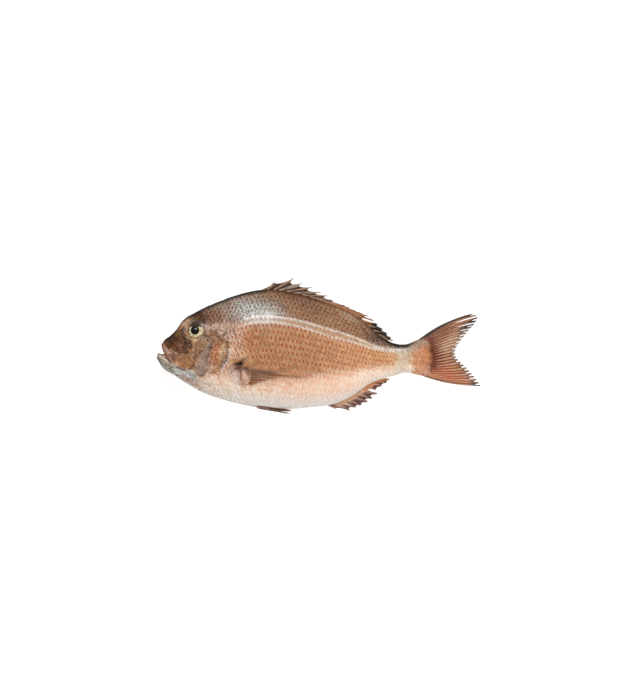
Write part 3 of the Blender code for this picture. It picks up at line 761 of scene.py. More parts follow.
for side_name, side in (("left", 1), ("right", -1)):
    depth = half_girth(EYE_CENTRE[0]) * GIRTH_AT_EYE - EYE_SUNK
    bm = bmesh.new()
    bmesh.ops.create_uvsphere(bm, u_segments=64, v_segments=40, radius=1)
    for vert in bm.verts:
        x, y, z = (c * r for c, r in zip(vert.co, EYE_DOME))
        off_pupil = (x - PUPIL_OFF[0]) ** 2 + (y - PUPIL_OFF[1]) ** 2
        z += CORNEA_BULGE * math.exp(-off_pupil / CORNEA_AREA) * (z * side > 0) * side
        centre = (*EYE_CENTRE, middle_z(EYE_CENTRE[0]) + side * depth)
        vert.co = Vector([c + v for c, v in zip(centre, (x, y, z))]) * MM
    eye = add_object("eyeball_" + side_name, to_mesh("eyeball", bm), eyeball)
    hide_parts("eye_" + side_name)
    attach(eye, "root")

# ---- Scales ------------------------------------------------------------------------------
# Thin overlapping plates of bone in rows along the body, from behind the gill cover to the root
# of the tail, with a rust-red spot and a pale free edge each, and orange hatching on the belly.
# A point mesh holds their places, and Geometry Nodes put a scale on each and wrap it round.

SCALE_PITCH = curve_through(((-100, 4.3), (-30, 4.7), (20, 4.2), (70, 3.3), (127, 2.6)))  # along a row
ROW_STEP = curve_through(((-100, 6.6), (-30, 7.0), (20, 6.3), (70, 4.8), (127, 3.6)))  # between rows
SCALE_OVERLAP = 1.9  # length of a scale over the pitch
SCALE_WIDTH = 1.4  # width of a scale over the step between rows
SCALE_LIFT = 0.32  # height of the free edge over the skin, in mm
FIRST_SCALE = 2.5  # distance of the first scales behind the edge of the gill cover
LAST_SCALE_X = 122
UPPER_ROWS = 0.8  # step between the rows over the lateral line, over the step under it
SCALES_ALONG, SCALES_ACROSS = 5, 6  # faces of one scale
SCALE_ROUNDING = 0.3  # how far the corners of the free edge draw back, over the length
RIM_BACK, RIM_DEPTH = 0.02, 0.4  # where the rim ends: back over the length, down over the lift
SCALE_SIDES = ("left", 1, 7), ("right", -1, 11)  # name, side, and seed of the spread
AROUND = np.linspace(0.001, math.pi - 0.001, 240)  # angles of a section from back to belly


def row_places(x, side):
    """Places of the rows on the section at x, by number: row 0 is the lateral line's."""
    section = skin_point(x, AROUND if side > 0 else 2 * math.pi - AROUND)
    arc = np.concatenate([[0], np.cumsum(np.linalg.norm(np.diff(section, axis=0), axis=1))])
    start = np.interp(-lateral_y(x), -section[:, 1], arc)
    step = ROW_STEP(x)
    rows = np.arange(-int(start / (step * UPPER_ROWS)), int((arc[-1] - start) / step) + 1)
    spots = start + rows * np.where(rows < 0, UPPER_ROWS, 1.0) * step
    places = np.stack([np.interp(spots, arc, column) for column in section.T], axis=-1)
    return dict(zip(rows.tolist(), places))


def carries_scale(place):
    """Whether a scale grows here: behind the gill cover, and off the fleshy root of the fin."""
    x, y, _ = place
    past_edge = x - GILL_X - gill_bend(rise_of(x, y))
    bare = max(blob(x, y, *PECTORAL_PAD), blob(x, y, AXIL, (11, 8), 8))
    return past_edge > FIRST_SCALE and bare < 0.25 and x < LAST_SCALE_X


def scale_places():
    """Place, outward and rearward direction, pitch and row of every scale."""
    found = []
    for side in (1, -1):
        x = GILL_X
        while x < BACK[-1][0] - 1:
            pitch = SCALE_PITCH(x)
            for shift in (0, 0.5):
                here = x + shift * pitch
                front, middle, rear = (row_places(here + d, side) for d in (-0.4, 0, 0.4))
                for row in sorted(set(front) & set(middle) & set(rear)):
                    if row % 2 != (shift > 0) or not carries_scale(middle[row]):
                        continue
                    back = rear[row] - front[row]
                    neighbour = middle.get(row + 1, middle.get(row - 1))
                    across = (neighbour - middle[row]) * (1 if row + 1 in middle else -1)
                    out = np.cross(across, back) * side
                    out, back = out / np.linalg.norm(out), back / np.linalg.norm(back)
                    found.append((middle[row], out, back, pitch, row))
            x += pitch
    return found


def scale_mesh():
    """One scale, 1 long and 1 wide, whose lift attribute rises to 1 at the free edge. A low rim
    under that edge gives it thickness."""
    bm = bmesh.new()
    uv_layer = bm.loops.layers.uv.new("scale_uv")
    lift_layer = bm.verts.layers.float.new("lift")
    uv_of, rows = {}, []
    for i in range(SCALES_ALONG + 1):
        u = i / SCALES_ALONG
        row = []
        for j in range(SCALES_ACROSS + 1):
            v = 2 * j / SCALES_ACROSS - 1
            half_width = 0.5 * (0.8 + 0.2 * math.sin(math.pi * u))
            vert = bm.verts.new((u - SCALE_ROUNDING * v * v * u - 0.5, v * half_width, 0))
            vert[lift_layer] = u
            uv_of[vert] = (u, j / SCALES_ACROSS)
            row.append(vert)
        rows.append(row)
    rim = []
    for vert in rows[-1]:
        low = bm.verts.new(vert.co + Vector((-RIM_BACK, 0, 0)))
        low[lift_layer] = -RIM_DEPTH
        uv_of[low] = (1.0, uv_of[vert][1])
        rim.append(low)
    rows.append(rim)
    for row, following in zip(rows, rows[1:]):
        for j in range(SCALES_ACROSS):
            face = bm.faces.new((row[j], following[j], following[j + 1], row[j + 1]))
            for loop in face.loops:
                loop[uv_layer].uv = uv_of[loop.vert]
    return to_mesh("one_scale", bm)


def new_tree(name, **inputs):
    """A Geometry Nodes tree with these inputs, and their sockets in it. An underscore in a name
    stands for a space."""
    tree = bpy.data.node_groups.new(name, "GeometryNodeTree")
    for key, kind in inputs.items():
        socket = key.replace("_", " ")
        tree.interface.new_socket(socket, in_out="INPUT", socket_type="NodeSocket" + kind)
    tree.interface.new_socket("Geometry", in_out="OUTPUT", socket_type="NodeSocketGeometry")
    return tree, tree.nodes.new("NodeGroupInput").outputs


wrap, given = new_tree(
    "wrapped_scales", Points="Geometry", Scale="Object", Skin="Object", Lift="Float",
    Size_Spread="Float", Turn_Spread="Float", Seed="Int", Material="Material",
)


def spread(amount, middle):
    """A random number for each scale, up to amount away from middle."""
    low = add(wrap, "ShaderNodeMath", {0: middle, 1: amount}, operation="SUBTRACT")
    high = add(wrap, "ShaderNodeMath", {0: middle, 1: amount}, operation="ADD")
    limits = {2: low, 3: high, "Seed": given["Seed"]}
    return add(wrap, "FunctionNodeRandomValue", limits, 1, data_type="FLOAT")


outward = add(wrap, "GeometryNodeInputNamedAttribute", {"Name": "outward"}, data_type="FLOAT_VECTOR")
rearward = add(wrap, "GeometryNodeInputNamedAttribute", {"Name": "rearward"}, data_type="FLOAT_VECTOR")
turned = {0: outward, 1: rearward}
turned = add(wrap, "FunctionNodeAxesToRotation", turned, primary_axis="Z", secondary_axis="X")
twist = add(wrap, "ShaderNodeCombineXYZ", {"Z": spread(given["Turn Spread"], 0.0)})
turned = add(wrap, "FunctionNodeRotateRotation", {0: turned, 1: twist}, rotation_space="LOCAL")
size = add(wrap, "GeometryNodeInputNamedAttribute", {"Name": "size"}, data_type="FLOAT_VECTOR")
size = {0: size, "Scale": spread(given["Size Spread"], 1.0)}
size = add(wrap, "ShaderNodeVectorMath", size, operation="SCALE")
one = add(wrap, "GeometryNodeObjectInfo", {"Object": given["Scale"]}, "Geometry")
scattered = add(wrap, "GeometryNodeInstanceOnPoints", {
    "Points": given["Points"], "Instance": one, "Rotation": turned, "Scale": size,
})
shaded = add(wrap, "GeometryNodeStoreNamedAttribute", {
    "Geometry": scattered, "Name": "shade", "Value": spread(0.5, 0.5),
}, data_type="FLOAT", domain="INSTANCE")
loose = add(wrap, "GeometryNodeRealizeInstances", {"Geometry": shaded})
skin_shape = {"Object": given["Skin"]}
skin_shape = add(wrap, "GeometryNodeObjectInfo", skin_shape, "Geometry", transform_space="RELATIVE")
on_skin = add(wrap, "GeometryNodeProximity", {"Geometry": skin_shape}, "Position", target_element="FACES")
outward = add(wrap, "GeometryNodeSampleNearestSurface", {
    "Mesh": skin_shape, "Value": add(wrap, "GeometryNodeInputNormal"),
    "Sample Position": add(wrap, "GeometryNodeInputPosition"),
}, "Value", data_type="FLOAT_VECTOR")
lift = add(wrap, "GeometryNodeInputNamedAttribute", {"Name": "lift"}, data_type="FLOAT")
lift = add(wrap, "ShaderNodeMath", {0: lift, 1: given["Lift"]}, operation="MULTIPLY")
step_out = add(wrap, "ShaderNodeVectorMath", {0: outward, "Scale": lift}, operation="SCALE")
wrapped = {"Geometry": loose, "Position": on_skin, "Offset": step_out}
wrapped = add(wrap, "GeometryNodeSetPosition", wrapped)
wrapped = add(wrap, "GeometryNodeSetMaterial", {"Geometry": wrapped, "Material": given["Material"]})
add(wrap, "NodeGroupOutput", {"Geometry": wrapped})


def node_modifier(obj, tree, **values):
    """A Geometry Nodes modifier with its inputs set. An underscore stands for a space."""
    modifier = obj.modifiers.new(tree.name, "NODES")
    modifier.node_group = tree
    sockets = {item.name: item.identifier for item in tree.interface.items_tree if item.in_out == "INPUT"}
    for key, value in values.items():
        modifier[sockets[key.replace("_", " ")]] = value
    return modifier


# Scale: a thin bony plate under clear wet skin, so it is glossy, with slanted silvery glints of
# about a millimetre painted into its colour. The red spot and the pale edge follow the scale's
# own UV, and the pigment of the fish shows between them. The hatching of the belly is in lines
# 2.8 mm apart.
plate, shader, tree = material("wet_fish_scale", 0.4, Specular_IOR_Level=0.15, Coat_Weight=0.5, **WET)
place = add(tree, "ShaderNodeTexCoord", out="Object")
slanted = {"Vector": place, "Rotation": (0, 0, math.radians(-62)), "Scale": (2.8, 1, 1)}
slanted = add(tree, "ShaderNodeMapping", slanted, vector_type="TEXTURE")
patches = {"Vector": slanted, "Scale": 1 / (1.5 * MM), "Detail": 4, "Roughness": 0.6}
patches = add(tree, "ShaderNodeTexNoise", patches)
wash = add(tree, "ShaderNodeValToRGB", {0: patches}, stops=(
    (0.34, "#866c5c"), (0.5, "#bdbdbd"), (0.66, "#e0efe8"),
))
shade = add(tree, "ShaderNodeAttribute", out="Fac", attribute_name="shade")
shade = add(tree, "ShaderNodeValToRGB", {0: shade}, stops=((0, "#b2b2b2"), (1, "#c8c8c8")))
base = add(tree, "ShaderNodeAttribute", attribute_name="pigment")
base = add(tree, "ShaderNodeMix", {0: 0.72, 6: base, 7: wash}, 2, **OVERLAY)
base = add(tree, "ShaderNodeMix", {0: 1.0, 6: base, 7: shade}, 2, **OVERLAY)
uv = add(tree, "ShaderNodeUVMap", uv_map="scale_uv")
along_scale = add(tree, "ShaderNodeSeparateXYZ", {0: uv}, "X")
across_scale = add(tree, "ShaderNodeSeparateXYZ", {0: uv}, "Y")
marks = add(tree, "ShaderNodeAttribute", attribute_name="marks")
spot_strength = add(tree, "ShaderNodeSeparateColor", {0: marks}, "Red")
edge_and_glint_strength = add(tree, "ShaderNodeSeparateColor", {0: marks}, "Green")
hatch_strength = add(tree, "ShaderNodeSeparateColor", {0: marks}, "Blue")
SPOT_PLACE, SPOT_LENGTH, SPOT_WIDTH = 0.72, 0.105, 0.29  # along the scale, and half sizes
off_middle = add(tree, "ShaderNodeMath", {0: across_scale, 1: 0.5}, operation="SUBTRACT")
off_along = add(tree, "ShaderNodeMath", {0: along_scale, 1: SPOT_PLACE}, operation="SUBTRACT")
off_spot = add(tree, "ShaderNodeCombineXYZ", {
    0: add(tree, "ShaderNodeMath", {0: off_along, 1: SPOT_LENGTH}, operation="DIVIDE"),
    1: add(tree, "ShaderNodeMath", {0: off_middle, 1: SPOT_WIDTH}, operation="DIVIDE"),
})
from_spot = add(tree, "ShaderNodeVectorMath", {0: off_spot}, "Value", operation="LENGTH")
in_spot = add(tree, "ShaderNodeMapRange", {0: from_spot, 1: 1.05, 2: 0.5})
varied = add(tree, "ShaderNodeAttribute", out="Fac", attribute_name="shade")
varied = add(tree, "ShaderNodeMapRange", {0: varied, 3: 0.7, 4: 1.25})
spot = add(tree, "ShaderNodeMath", {0: in_spot, 1: spot_strength}, operation="MULTIPLY")
spot = add(tree, "ShaderNodeMath", {0: spot, 1: varied}, operation="MULTIPLY", use_clamp=True)
# Painted glints: silvery flecks of light mixed into the colour, in the colour of the pale edges, most
# where the edges are strongest.
glint_share = add(tree, "ShaderNodeMath", {0: edge_and_glint_strength, 1: 0.7}, operation="POWER")
flecks = add(tree, "ShaderNodeTexNoise", {"Vector": slanted, "Scale": 1 / (1.1 * MM), "Detail": 2})
painted_glint = add(tree, "ShaderNodeMath", {0: varied, 1: 0.08, 2: flecks}, operation="MULTIPLY_ADD")
painted_glint = add(tree, "ShaderNodeMapRange", {0: painted_glint, 1: 0.54, 2: 0.66, 4: 0.8})
painted_glint = add(tree, "ShaderNodeMath", {0: painted_glint, 1: glint_share}, operation="MULTIPLY")
edge_and_glint_colour = add(tree, "ShaderNodeAttribute", attribute_name="edge_and_glint_colour")
base = add(tree, "ShaderNodeMix", {0: painted_glint, 6: base, 7: edge_and_glint_colour}, 2, **MIX)
spot_colour = add(tree, "ShaderNodeAttribute", attribute_name="spot_colour")
base = add(tree, "ShaderNodeMix", {0: spot, 6: base, 7: spot_colour}, 2, **MIX)
across_hatch = {"Vector": place, "Rotation": (0, 0, math.radians(-32))}
across_hatch = add(tree, "ShaderNodeMapping", across_hatch, vector_type="TEXTURE")
hatch = add(tree, "ShaderNodeTexWave", {
    "Vector": across_hatch, "Scale": math.pi / 10 / (2.8 * MM), "Distortion": 3.5, "Detail": 2,
    "Detail Scale": 2.0,
}, "Fac")
hatch = add(tree, "ShaderNodeMapRange", {0: hatch, 1: 0.45, 2: 0.9})
broken = add(tree, "ShaderNodeMapRange", {0: patches, 1: 0.35, 2: 0.55, 3: 0.25})
hatch = add(tree, "ShaderNodeMath", {0: hatch, 1: broken}, operation="MULTIPLY")
hatch = add(tree, "ShaderNodeMath", {0: hatch, 1: hatch_strength}, operation="MULTIPLY")
base = add(tree, "ShaderNodeMix", {0: hatch, 6: base, 7: spot_colour}, 2, **MIX)
edge = add(tree, "ShaderNodeMapRange", {0: along_scale, 1: 0.84, 2: 0.97})
edge = add(tree, "ShaderNodeMath", {0: edge, 1: edge_and_glint_strength}, operation="MULTIPLY")
edge = add(tree, "ShaderNodeMath", {0: edge, 1: varied}, operation="MULTIPLY", use_clamp=True)
base = add(tree, "ShaderNodeMix", {0: edge, 6: base, 7: edge_and_glint_colour}, 2, **MIX)
growth = add(tree, "ShaderNodeTexNoise", {"Vector": place, "Scale": 1 / (0.8 * MM), "Detail": 2})
normal = add(tree, "ShaderNodeBump", {"Height": growth, "Distance": 0.12 * MM, "Strength": 0.6})
link_surface(tree, shader, base, normal)

one_scale = add_object("one_scale", scale_mesh())


def paint_marks(mesh):
    """Stores the colours of the scales' spots and free edges, which the painted glints take too,
    and as marks how strong the spots, the edges with their painted glints and the hatching of
    the belly are."""
    x, y, _ = places_of(mesh)
    rise, above = rise_of(x, y), y - lateral_y(x)
    silver = blob(x, y, (-72, 38), (30, 15), -10)
    by_line = smooth_step(-92, -78, x) * smooth_step(100, 86, x)
    on_pale_lines = sum(ridge(above, over_line(x), 1.4) for over_line in PALE_LINES)
    on_stripe = np.minimum(by_line * on_pale_lines, 1)
    on_line = by_line * ridge(above, 0, 1.5)
    on_flank = smooth_step(-2, -5, above) * smooth_step(-0.65, -0.35, rise) * smooth_step(86, 70, x)
    on_flank = on_flank * (0.75 + 0.25 * smooth_step(-95, -65, x))
    on_back = smooth_step(1, 5, above)
    on_band = within(x, y, SCALY_BAND, 2)
    at_front = smooth_step(-72, -90, x) * smooth_step(8, -2, above)
    spots = ground(x, "#a03c0c")
    lay(spots, "#e0895a", smooth_step(-0.2, -0.5, rise))
    lay(spots, "#712a06", on_back)
    lay(spots, "#3c2a22", silver)
    lay(spots, "#8a4a26", on_line)
    # Colour of the pale free edges, which the painted glints of the scales take as well.
    edges = ground(x, "#bdb496")
    lay(edges, "#efdcc8", smooth_step(-0.3, -0.6, rise))
    lay(edges, "#d2b69c", on_back)
    lay(edges, "#fff4e8", at_front * (1 - silver))
    lay(edges, "#e2ebe8", silver)
    lay(edges, "#f6f0ea", on_stripe)
    spot_strength = np.clip(on_flank + 0.85 * on_back * (1 - 0.5 * silver) + 0.7 * on_line, 0, 1)
    spot_strength = spot_strength * (1 - 0.5 * on_stripe) * smooth_step(1, 6, back_y(x) - y)
    edge_and_glint_strength = 0.12 + 0.16 * on_back + 0.5 * silver + 0.5 * on_stripe
    edge_and_glint_strength = edge_and_glint_strength + 0.16 * at_front + 0.12 * on_band
    edge_and_glint_strength = edge_and_glint_strength * smooth_step(1, 5, back_y(x) - y)
    on_belly = smooth_step(-0.25, -0.5, rise) * smooth_step(-1, -0.75, rise)
    hatching = 0.55 * on_belly * smooth_step(-70, -10, x) * smooth_step(74, 30, x)
    store_colour(mesh, "spot_colour", spots)
    store_colour(mesh, "edge_and_glint_colour", edges)
    store_colour(mesh, "marks", np.stack([spot_strength, edge_and_glint_strength, hatching], axis=-1))


places = scale_places()
for side_name, side, seed in SCALE_SIDES:
    half = [p for p in places if (p[0][2] > middle_z(p[0][0])) == (side > 0)]
    sizes = [(SCALE_OVERLAP * pitch, SCALE_WIDTH * (UPPER_ROWS if row < 0 else 1) * ROW_STEP(p[0]), 1)
             for p, _, _, pitch, row in half]
    mesh = bpy.data.meshes.new("scales")
    mesh.from_pydata([tuple(p[0] * MM) for p in half], [], [])
    for key, values in (
        ("outward", [p[1] for p in half]),
        ("rearward", [p[2] for p in half]),
        ("size", np.array(sizes) * MM),
    ):
        mesh.attributes.new(key, "FLOAT_VECTOR", "POINT").data.foreach_set("vector", np.ravel(values))
    scales = add_object("scales_" + side_name, mesh)
    node_modifier(scales, wrap, Scale=one_scale, Skin=skin, Lift=SCALE_LIFT * MM, Size_Spread=0.05,
                  Turn_Spread=0.06, Seed=seed, Material=plate)
    made_plain(scales)
    paint(scales.data)
    paint_marks(scales.data)
    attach(scales, "root")
bpy.data.objects.remove(one_scale)

# ---- Fins along the back and the belly ---------------------------------------------------
# Raked bony spines in front and soft rays behind, joined by a thin dark skin that is torn
# between the tips. The skin is a sheet with folds between the rays, and Geometry Nodes make the
# rays as tapered rods along a mesh of their centre lines.

FIN_ROOT = 3.0  # how deep the rays start inside the body
SHEET_THICKNESS = 0.4
ROD_SIDES = 8
SPLIT = 0.16  # how far a half of a split ray lies off its line, over the step between two rays
RAY_STEPS = 14  # points along one ray
# Where a soft ray splits in two and in four, as a share of its length, and how thick it goes on.
FIRST_SPLIT, SECOND_SPLIT = (0.5, 0.72), (0.75, 0.55)
# Each spine or ray, from the front: x at the outline, x and y of its tip, and how deep the
# skin behind it is torn, as a share of its length.
DORSAL = (
    (-62, -53, 66.5, 0.25), (-57, -50.5, 70, 0.3), (-50, -28.2, 74.8, 0.3), (-43, -19.9, 68.8, 0.25),
    (-35, -8.9, 64.4, 0.3), (-26, 1.3, 59, 0.3), (-17, 8.7, 55, 0.25), (-8, 15.1, 49.8, 0.15),
    (0, 21.1, 46, 0.15), (8, 27.6, 44.2, 0.1), (15, 33.1, 41.8, 0.1), (21, 39.6, 38.4, 0.1),
    (27, 46.5, 35.9, 0.15), (33, 53, 33.1, 0.3), (39, 59.9, 27.8, 0.8), (48, 64, 23.4, 0.15),
    (54, 69.5, 18.6, 0.15), (60, 74.5, 13.6, 0.15), (66, 79, 8.4, 0.15), (71, 81.5, 5.2, 0),
)
ANAL = (
    (10, 17.1, -70, 0.3), (16, 33.7, -71.9, 0.2), (23, 40, -68.6, 0.1), (29, 46, -65.8, 0.12),
    (35, 52.9, -62.4, 0.2), (40, 58, -58.6, 0.2), (45, 64, -53.4, 0.6), (51, 62, -48.6, 0.1),
    (57, 68.5, -45, 0.12), (63, 73.9, -41, 0.12), (69, 78.5, -36.8, 0),
)
DORSAL_SPINES, ANAL_SPINES = 12, 3  # the rays behind these are soft and split at their tips


class Fan:
    """The shape of a fin: rays from base to tip points, each with a bow and a tear behind it."""

    def __init__(self, base, tip, tears, bows=(0, 0), height_of=None, slit=0.7):
        self.base, self.tip, self.tears = (np.array(v, float) for v in (base, tip, tears))
        self.bow = np.linspace(*bows, len(base))
        self.slit = slit  # the higher, the narrower a tear
        self.height_of = height_of or (lambda x, y, share: middle_z(x))
        self.last = len(base) - 1

    def reach(self, first, part):
        """How far the skin goes, as a share of the rays, at this part of the way between two."""
        return 1 - self.tears[first] * (4 * part * (1 - part)) ** self.slit

    def place(self, across, share, torn=0.0):
        """The point across so many rays and at this share of the way to the edge."""
        first = np.clip(np.floor(across).astype(int), 0, self.last - 1)
        part = across - first
        base, tip, bow = (v[first] + (v[first + 1] - v[first]) * (part[..., None] if v.ndim > 1 else part)
                          for v in (self.base, self.tip, self.bow))
        share = share * (self.reach(first, part) - torn)
        ray = tip - base
        sideways = np.stack([-ray[..., 1], ray[..., 0]], axis=-1)
        sideways /= np.linalg.norm(ray, axis=-1)[..., None]
        flat = base + ray * share[..., None] + sideways * (bow * 4 * share * (1 - share))[..., None]
        height = self.height_of(flat[..., 0], flat[..., 1], share)
        return np.concatenate([flat, height[..., None]], axis=-1)


def fin_colours(points, on_ray, look, tint):
    """Pigment of a fin: its ground and patches, tinted on the rays or on the skin between them,
    and the lines along its edges over both."""
    x, y = points[..., 0], points[..., 1]
    colour = ground(x, look["ground"])
    lay_patches(colour, x, y, look["patches"])
    lay(colour, tint, look["contrast"] * on_ray)
    lay_streaks(colour, x, y, look["edges"])
    return colour


def fin_sheet(name, fan, look, fold, ragged, seed, between=8, rows=18):
    """The skin of a fin, folded between its rays, with a ragged edge. It has so many faces
    between two rays, and so many rows of them."""
    random = np.random.default_rng(seed)
    across = np.linspace(0, fan.last, fan.last * between + 1)
    share = np.linspace(0, 1, rows + 1)
    torn = ragged * random.random(len(across)) * (across % 1 > 0)
    points = fan.place(across[:, None] + 0 * share, share[None, :] + 0 * across[:, None], torn[:, None])
    part = across % 1
    way = np.where(np.floor(across).astype(int) % 2, 1, -1)
    folded = (fold * way * np.sin(math.pi * part))[:, None] * smooth_step(0, 0.3, share)[None, :]
    points[..., 2] += folded
    inward = points[:, 0] - points[:, 1]
    inward /= np.linalg.norm(inward, axis=-1)[:, None]
    points = np.concatenate([(points[:, 0] + inward * FIN_ROOT)[:, None], points], axis=1)
    mesh = bpy.data.meshes.new(name)
    number = np.arange(points.shape[0] * points.shape[1]).reshape(points.shape[:2])
    corners = (number[:-1, :-1], number[1:, :-1], number[1:, 1:], number[:-1, 1:])
    faces = np.stack(corners, axis=-1).reshape(-1, 4).tolist()
    mesh.from_pydata((points.reshape(-1, 3) * MM).tolist(), [], faces)
    off_ray = smooth_step(0.12, 0.4, np.minimum(part, 1 - part))[:, None]
    store_colour(mesh, "pigment", fin_colours(points, off_ray, look, look["web"]))
    mesh.shade_smooth()
    sheet = add_object(name, mesh, fin_finishes["wet_fin_skin"])
    solidify = sheet.modifiers.new("thickness", "SOLIDIFY")
    solidify.thickness, solidify.offset = SHEET_THICKNESS * MM, 0
    made_plain(sheet)
    return sheet


def ray_lines(fan, radii, spines):
    """Centre lines of the rays: points, edges and radii. The rays after the spines split in two
    and in four on their way to the edge."""
    points, edges, thick = [], [], []

    def run(across_from, across_to, share_from, share_to, joined, thickness):
        """Adds a stretch of a ray, joined to an earlier point or to none, and gives its end."""
        steps = max(3, int((share_to - share_from) * RAY_STEPS))
        for t in np.linspace(0, 1, steps + 1)[(0 if joined is None else 1):]:
            share = share_from + (share_to - share_from) * t
            across = np.array(across_from + (across_to - across_from) * t)
            reach = max(fan.reach(min(int(across), fan.last - 1), across % 1), 0.3)
            points.append(fan.place(across, np.array(share / reach if joined is not None else share)))
            thick.append((radii[0] + (radii[1] - radii[0]) * max(share, 0) ** 0.8) * thickness)
            if joined is not None:
                edges.append((joined, len(points) - 1))
            joined = len(points) - 1
        return joined

    for k in range(fan.last + 1):
        start = -FIN_ROOT / np.linalg.norm(fan.tip[k] - fan.base[k])
        if k < spines:
            run(k, k, start, 1.0, None, 1.0)
            continue
        fork = run(k, k, start, FIRST_SPLIT[0], None, 1.0)
        for side in (-1, 1):
            middle = min(max(k + side * SPLIT, 0), fan.last)
            second = run(k, middle, FIRST_SPLIT[0], SECOND_SPLIT[0], fork, FIRST_SPLIT[1])
            for way in (-1, 1):
                end = min(max(middle + way * SPLIT / 2, 0), fan.last)
                run(middle, end, SECOND_SPLIT[0], 1.0, second, SECOND_SPLIT[1])
    return np.array(points), edges, np.array(thick)


rods, given = new_tree("tapered_rods", Lines="Geometry", Sides="Int", Material="Material")
lines = add(rods, "GeometryNodeMeshToCurve", {"Mesh": given["Lines"]})
thick = add(rods, "GeometryNodeInputNamedAttribute", {"Name": "thick"}, data_type="FLOAT")
profile = {"Resolution": given["Sides"], "Radius": 1.0}
profile = add(rods, "GeometryNodeCurvePrimitiveCircle", profile)
tubes = add(rods, "GeometryNodeCurveToMesh", {
    "Curve": lines, "Profile Curve": profile, "Scale": thick, "Fill Caps": True,
})
tubes = add(rods, "GeometryNodeSetShadeSmooth", {"Geometry": tubes})
tubes = add(rods, "GeometryNodeRealizeInstances", {"Geometry": tubes})
tubes = add(rods, "GeometryNodeSetMaterial", {"Geometry": tubes, "Material": given["Material"]})
add(rods, "NodeGroupOutput", {"Geometry": tubes})


def fin_rays(name, fan, look, radii, spines):
    """The rays of a fin as one plain mesh of tapered rods."""
    points, edges, thick = ray_lines(fan, radii, spines)
    mesh = bpy.data.meshes.new(name)
    mesh.from_pydata((points * MM).tolist(), edges, [])
    mesh.attributes.new("thick", "FLOAT", "POINT").data.foreach_set("value", thick * MM)
    store_colour(mesh, "pigment", fin_colours(points, np.ones(len(points)), look, look["ray"]))
    made = add_object(name, mesh)
    node_modifier(made, rods, Sides=ROD_SIDES, Material=fin_finishes["skin_over_fin_ray"])
    made_plain(made)
    return made


def place_fin(node, slot_name, fan, look, radii, spines=0, **sheet_shape):
    """Makes the skin and the rays of one fin in the place of its solid."""
    sheet = fin_sheet(node + "_skin", fan, look, **sheet_shape)
    rays = fin_rays(node + "_rays", fan, look, radii, spines)
    for piece in (sheet, rays):
        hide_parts(node)
        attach(piece, "root")


# Fin skin is a wet film under half a millimetre thick, and a ray is a rod of thin bone in skin.
# Both are glossy where wet and mottled in spots of 1 to 2 mm over the pigment of the fin.
fin_finishes = {}
for name, roughness, settings, size, detail, greys, bump in (
    ("wet_fin_skin", 0.4, {"Specular_IOR_Level": 0.15, "Coat_Weight": 0.25, "Coat_Roughness": 0.2},
     1.6, 4, ("#969696", "#bcbcbc", "#dedede"), (0.3, 0.7)),
    ("skin_over_fin_ray", 0.36, {"Specular_IOR_Level": 0.2, "Coat_Weight": 0.3, "Coat_Roughness": 0.15},
     1.2, 3, ("#a0a0a0", "#bcbcbc", "#d8d8d8"), (0.25, 0.6)),
):
    fin_finishes[name], shader, tree = material(name, roughness, **settings)
    place = add(tree, "ShaderNodeTexCoord", out="Object")
    patches = {"Vector": place, "Scale": 1 / (size * MM), "Detail": detail}
    patches = add(tree, "ShaderNodeTexNoise", patches)
    mottle = add(tree, "ShaderNodeValToRGB", {0: patches}, stops=tuple(zip((0.3, 0.5, 0.7), greys)))
    base = add(tree, "ShaderNodeAttribute", attribute_name="pigment")
    base = add(tree, "ShaderNodeMix", {0: 1.0, 6: base, 7: mottle}, 2, **OVERLAY)
    normal = {"Height": patches, "Distance": bump[0] * MM, "Strength": bump[1]}
    normal = add(tree, "ShaderNodeBump", normal)
    link_surface(tree, shader, base, normal)

dorsal_look = {
    "ground": "#7d5a44", "ray": "#ab8c75", "web": "#120c0a", "contrast": 0.82,
    "patches": (
        ("#a3623a", (40, 36), (18, 7), -30, 0.9),
        ("#2f2420", (62, 18), (18, 8), -45, 0.85),
        ("#564236", (20, 45), (14, 6), -30, 0.5),
    ),
    "edges": (
        ("#a8683e", ((16, 45), (30, 40), (44, 33), (56, 24)), 2.2, 0.6),
        ("#1c1512", ((60, 25), (70, 14), (82, 5)), 3.5, 0.75),
        ("#3a2c25", ((-60, 64), (-40, 64), (-20, 59), (0, 52.5)), 1.6, 0.5),
    ),
}
anal_look = {
    "ground": "#7e5c50", "ray": "#c8a698", "web": "#3a2620", "contrast": 0.66,
    "patches": (
        ("#c98550", (57, -42), (12, 3), 30, 0.95),
        ("#3b302c", (72, -43), (10, 6), 20, 0.8),
        ("#5a4740", (46, -65), (22, 5), 25, 0.5),
        ("#c8a698", (25, -66), (11, 4), 10, 0.7),
    ),
    "edges": (
        ("#dcae8e", ((20, -64.5), (33, -59), (45, -51.5), (56, -43.5)), 3.0, 0.85),
        ("#c07a48", ((50, -48), (60, -41), (76, -35)), 2.4, 0.85),
        ("#3a2b28", ((22, -71), (36, -71), (50, -65), (64, -54)), 3.0, 0.55),
    ),
}


def along_outline(table, outline_y, slit):
    """A fan whose rays stand on the outline of the fish, from a table of its rays."""
    base = [(x, outline_y(x)) for x, *_ in table]
    return Fan(base, [row[1:3] for row in table], [row[3] for row in table], slit=slit)


dorsal, anal = along_outline(DORSAL, back_y, 0.8), along_outline(ANAL, belly_y, 1.5)
place_fin("dorsal_fin", "dark_fin", dorsal, dorsal_look, (1.3, 0.5), DORSAL_SPINES,
          fold=0.8, ragged=0.06, seed=3)
place_fin("anal_fin", "dark_fin", anal, anal_look, (1.1, 0.35), ANAL_SPINES,
          fold=0.8, ragged=0.06, seed=4)

# ---- Tail fin ----------------------------------------------------------------------------
# A forked fan of soft rays that grow out of the root of the tail. The rays split twice on the
# way to the ragged edge, and the skin is split between the long rays of the upper lobe.

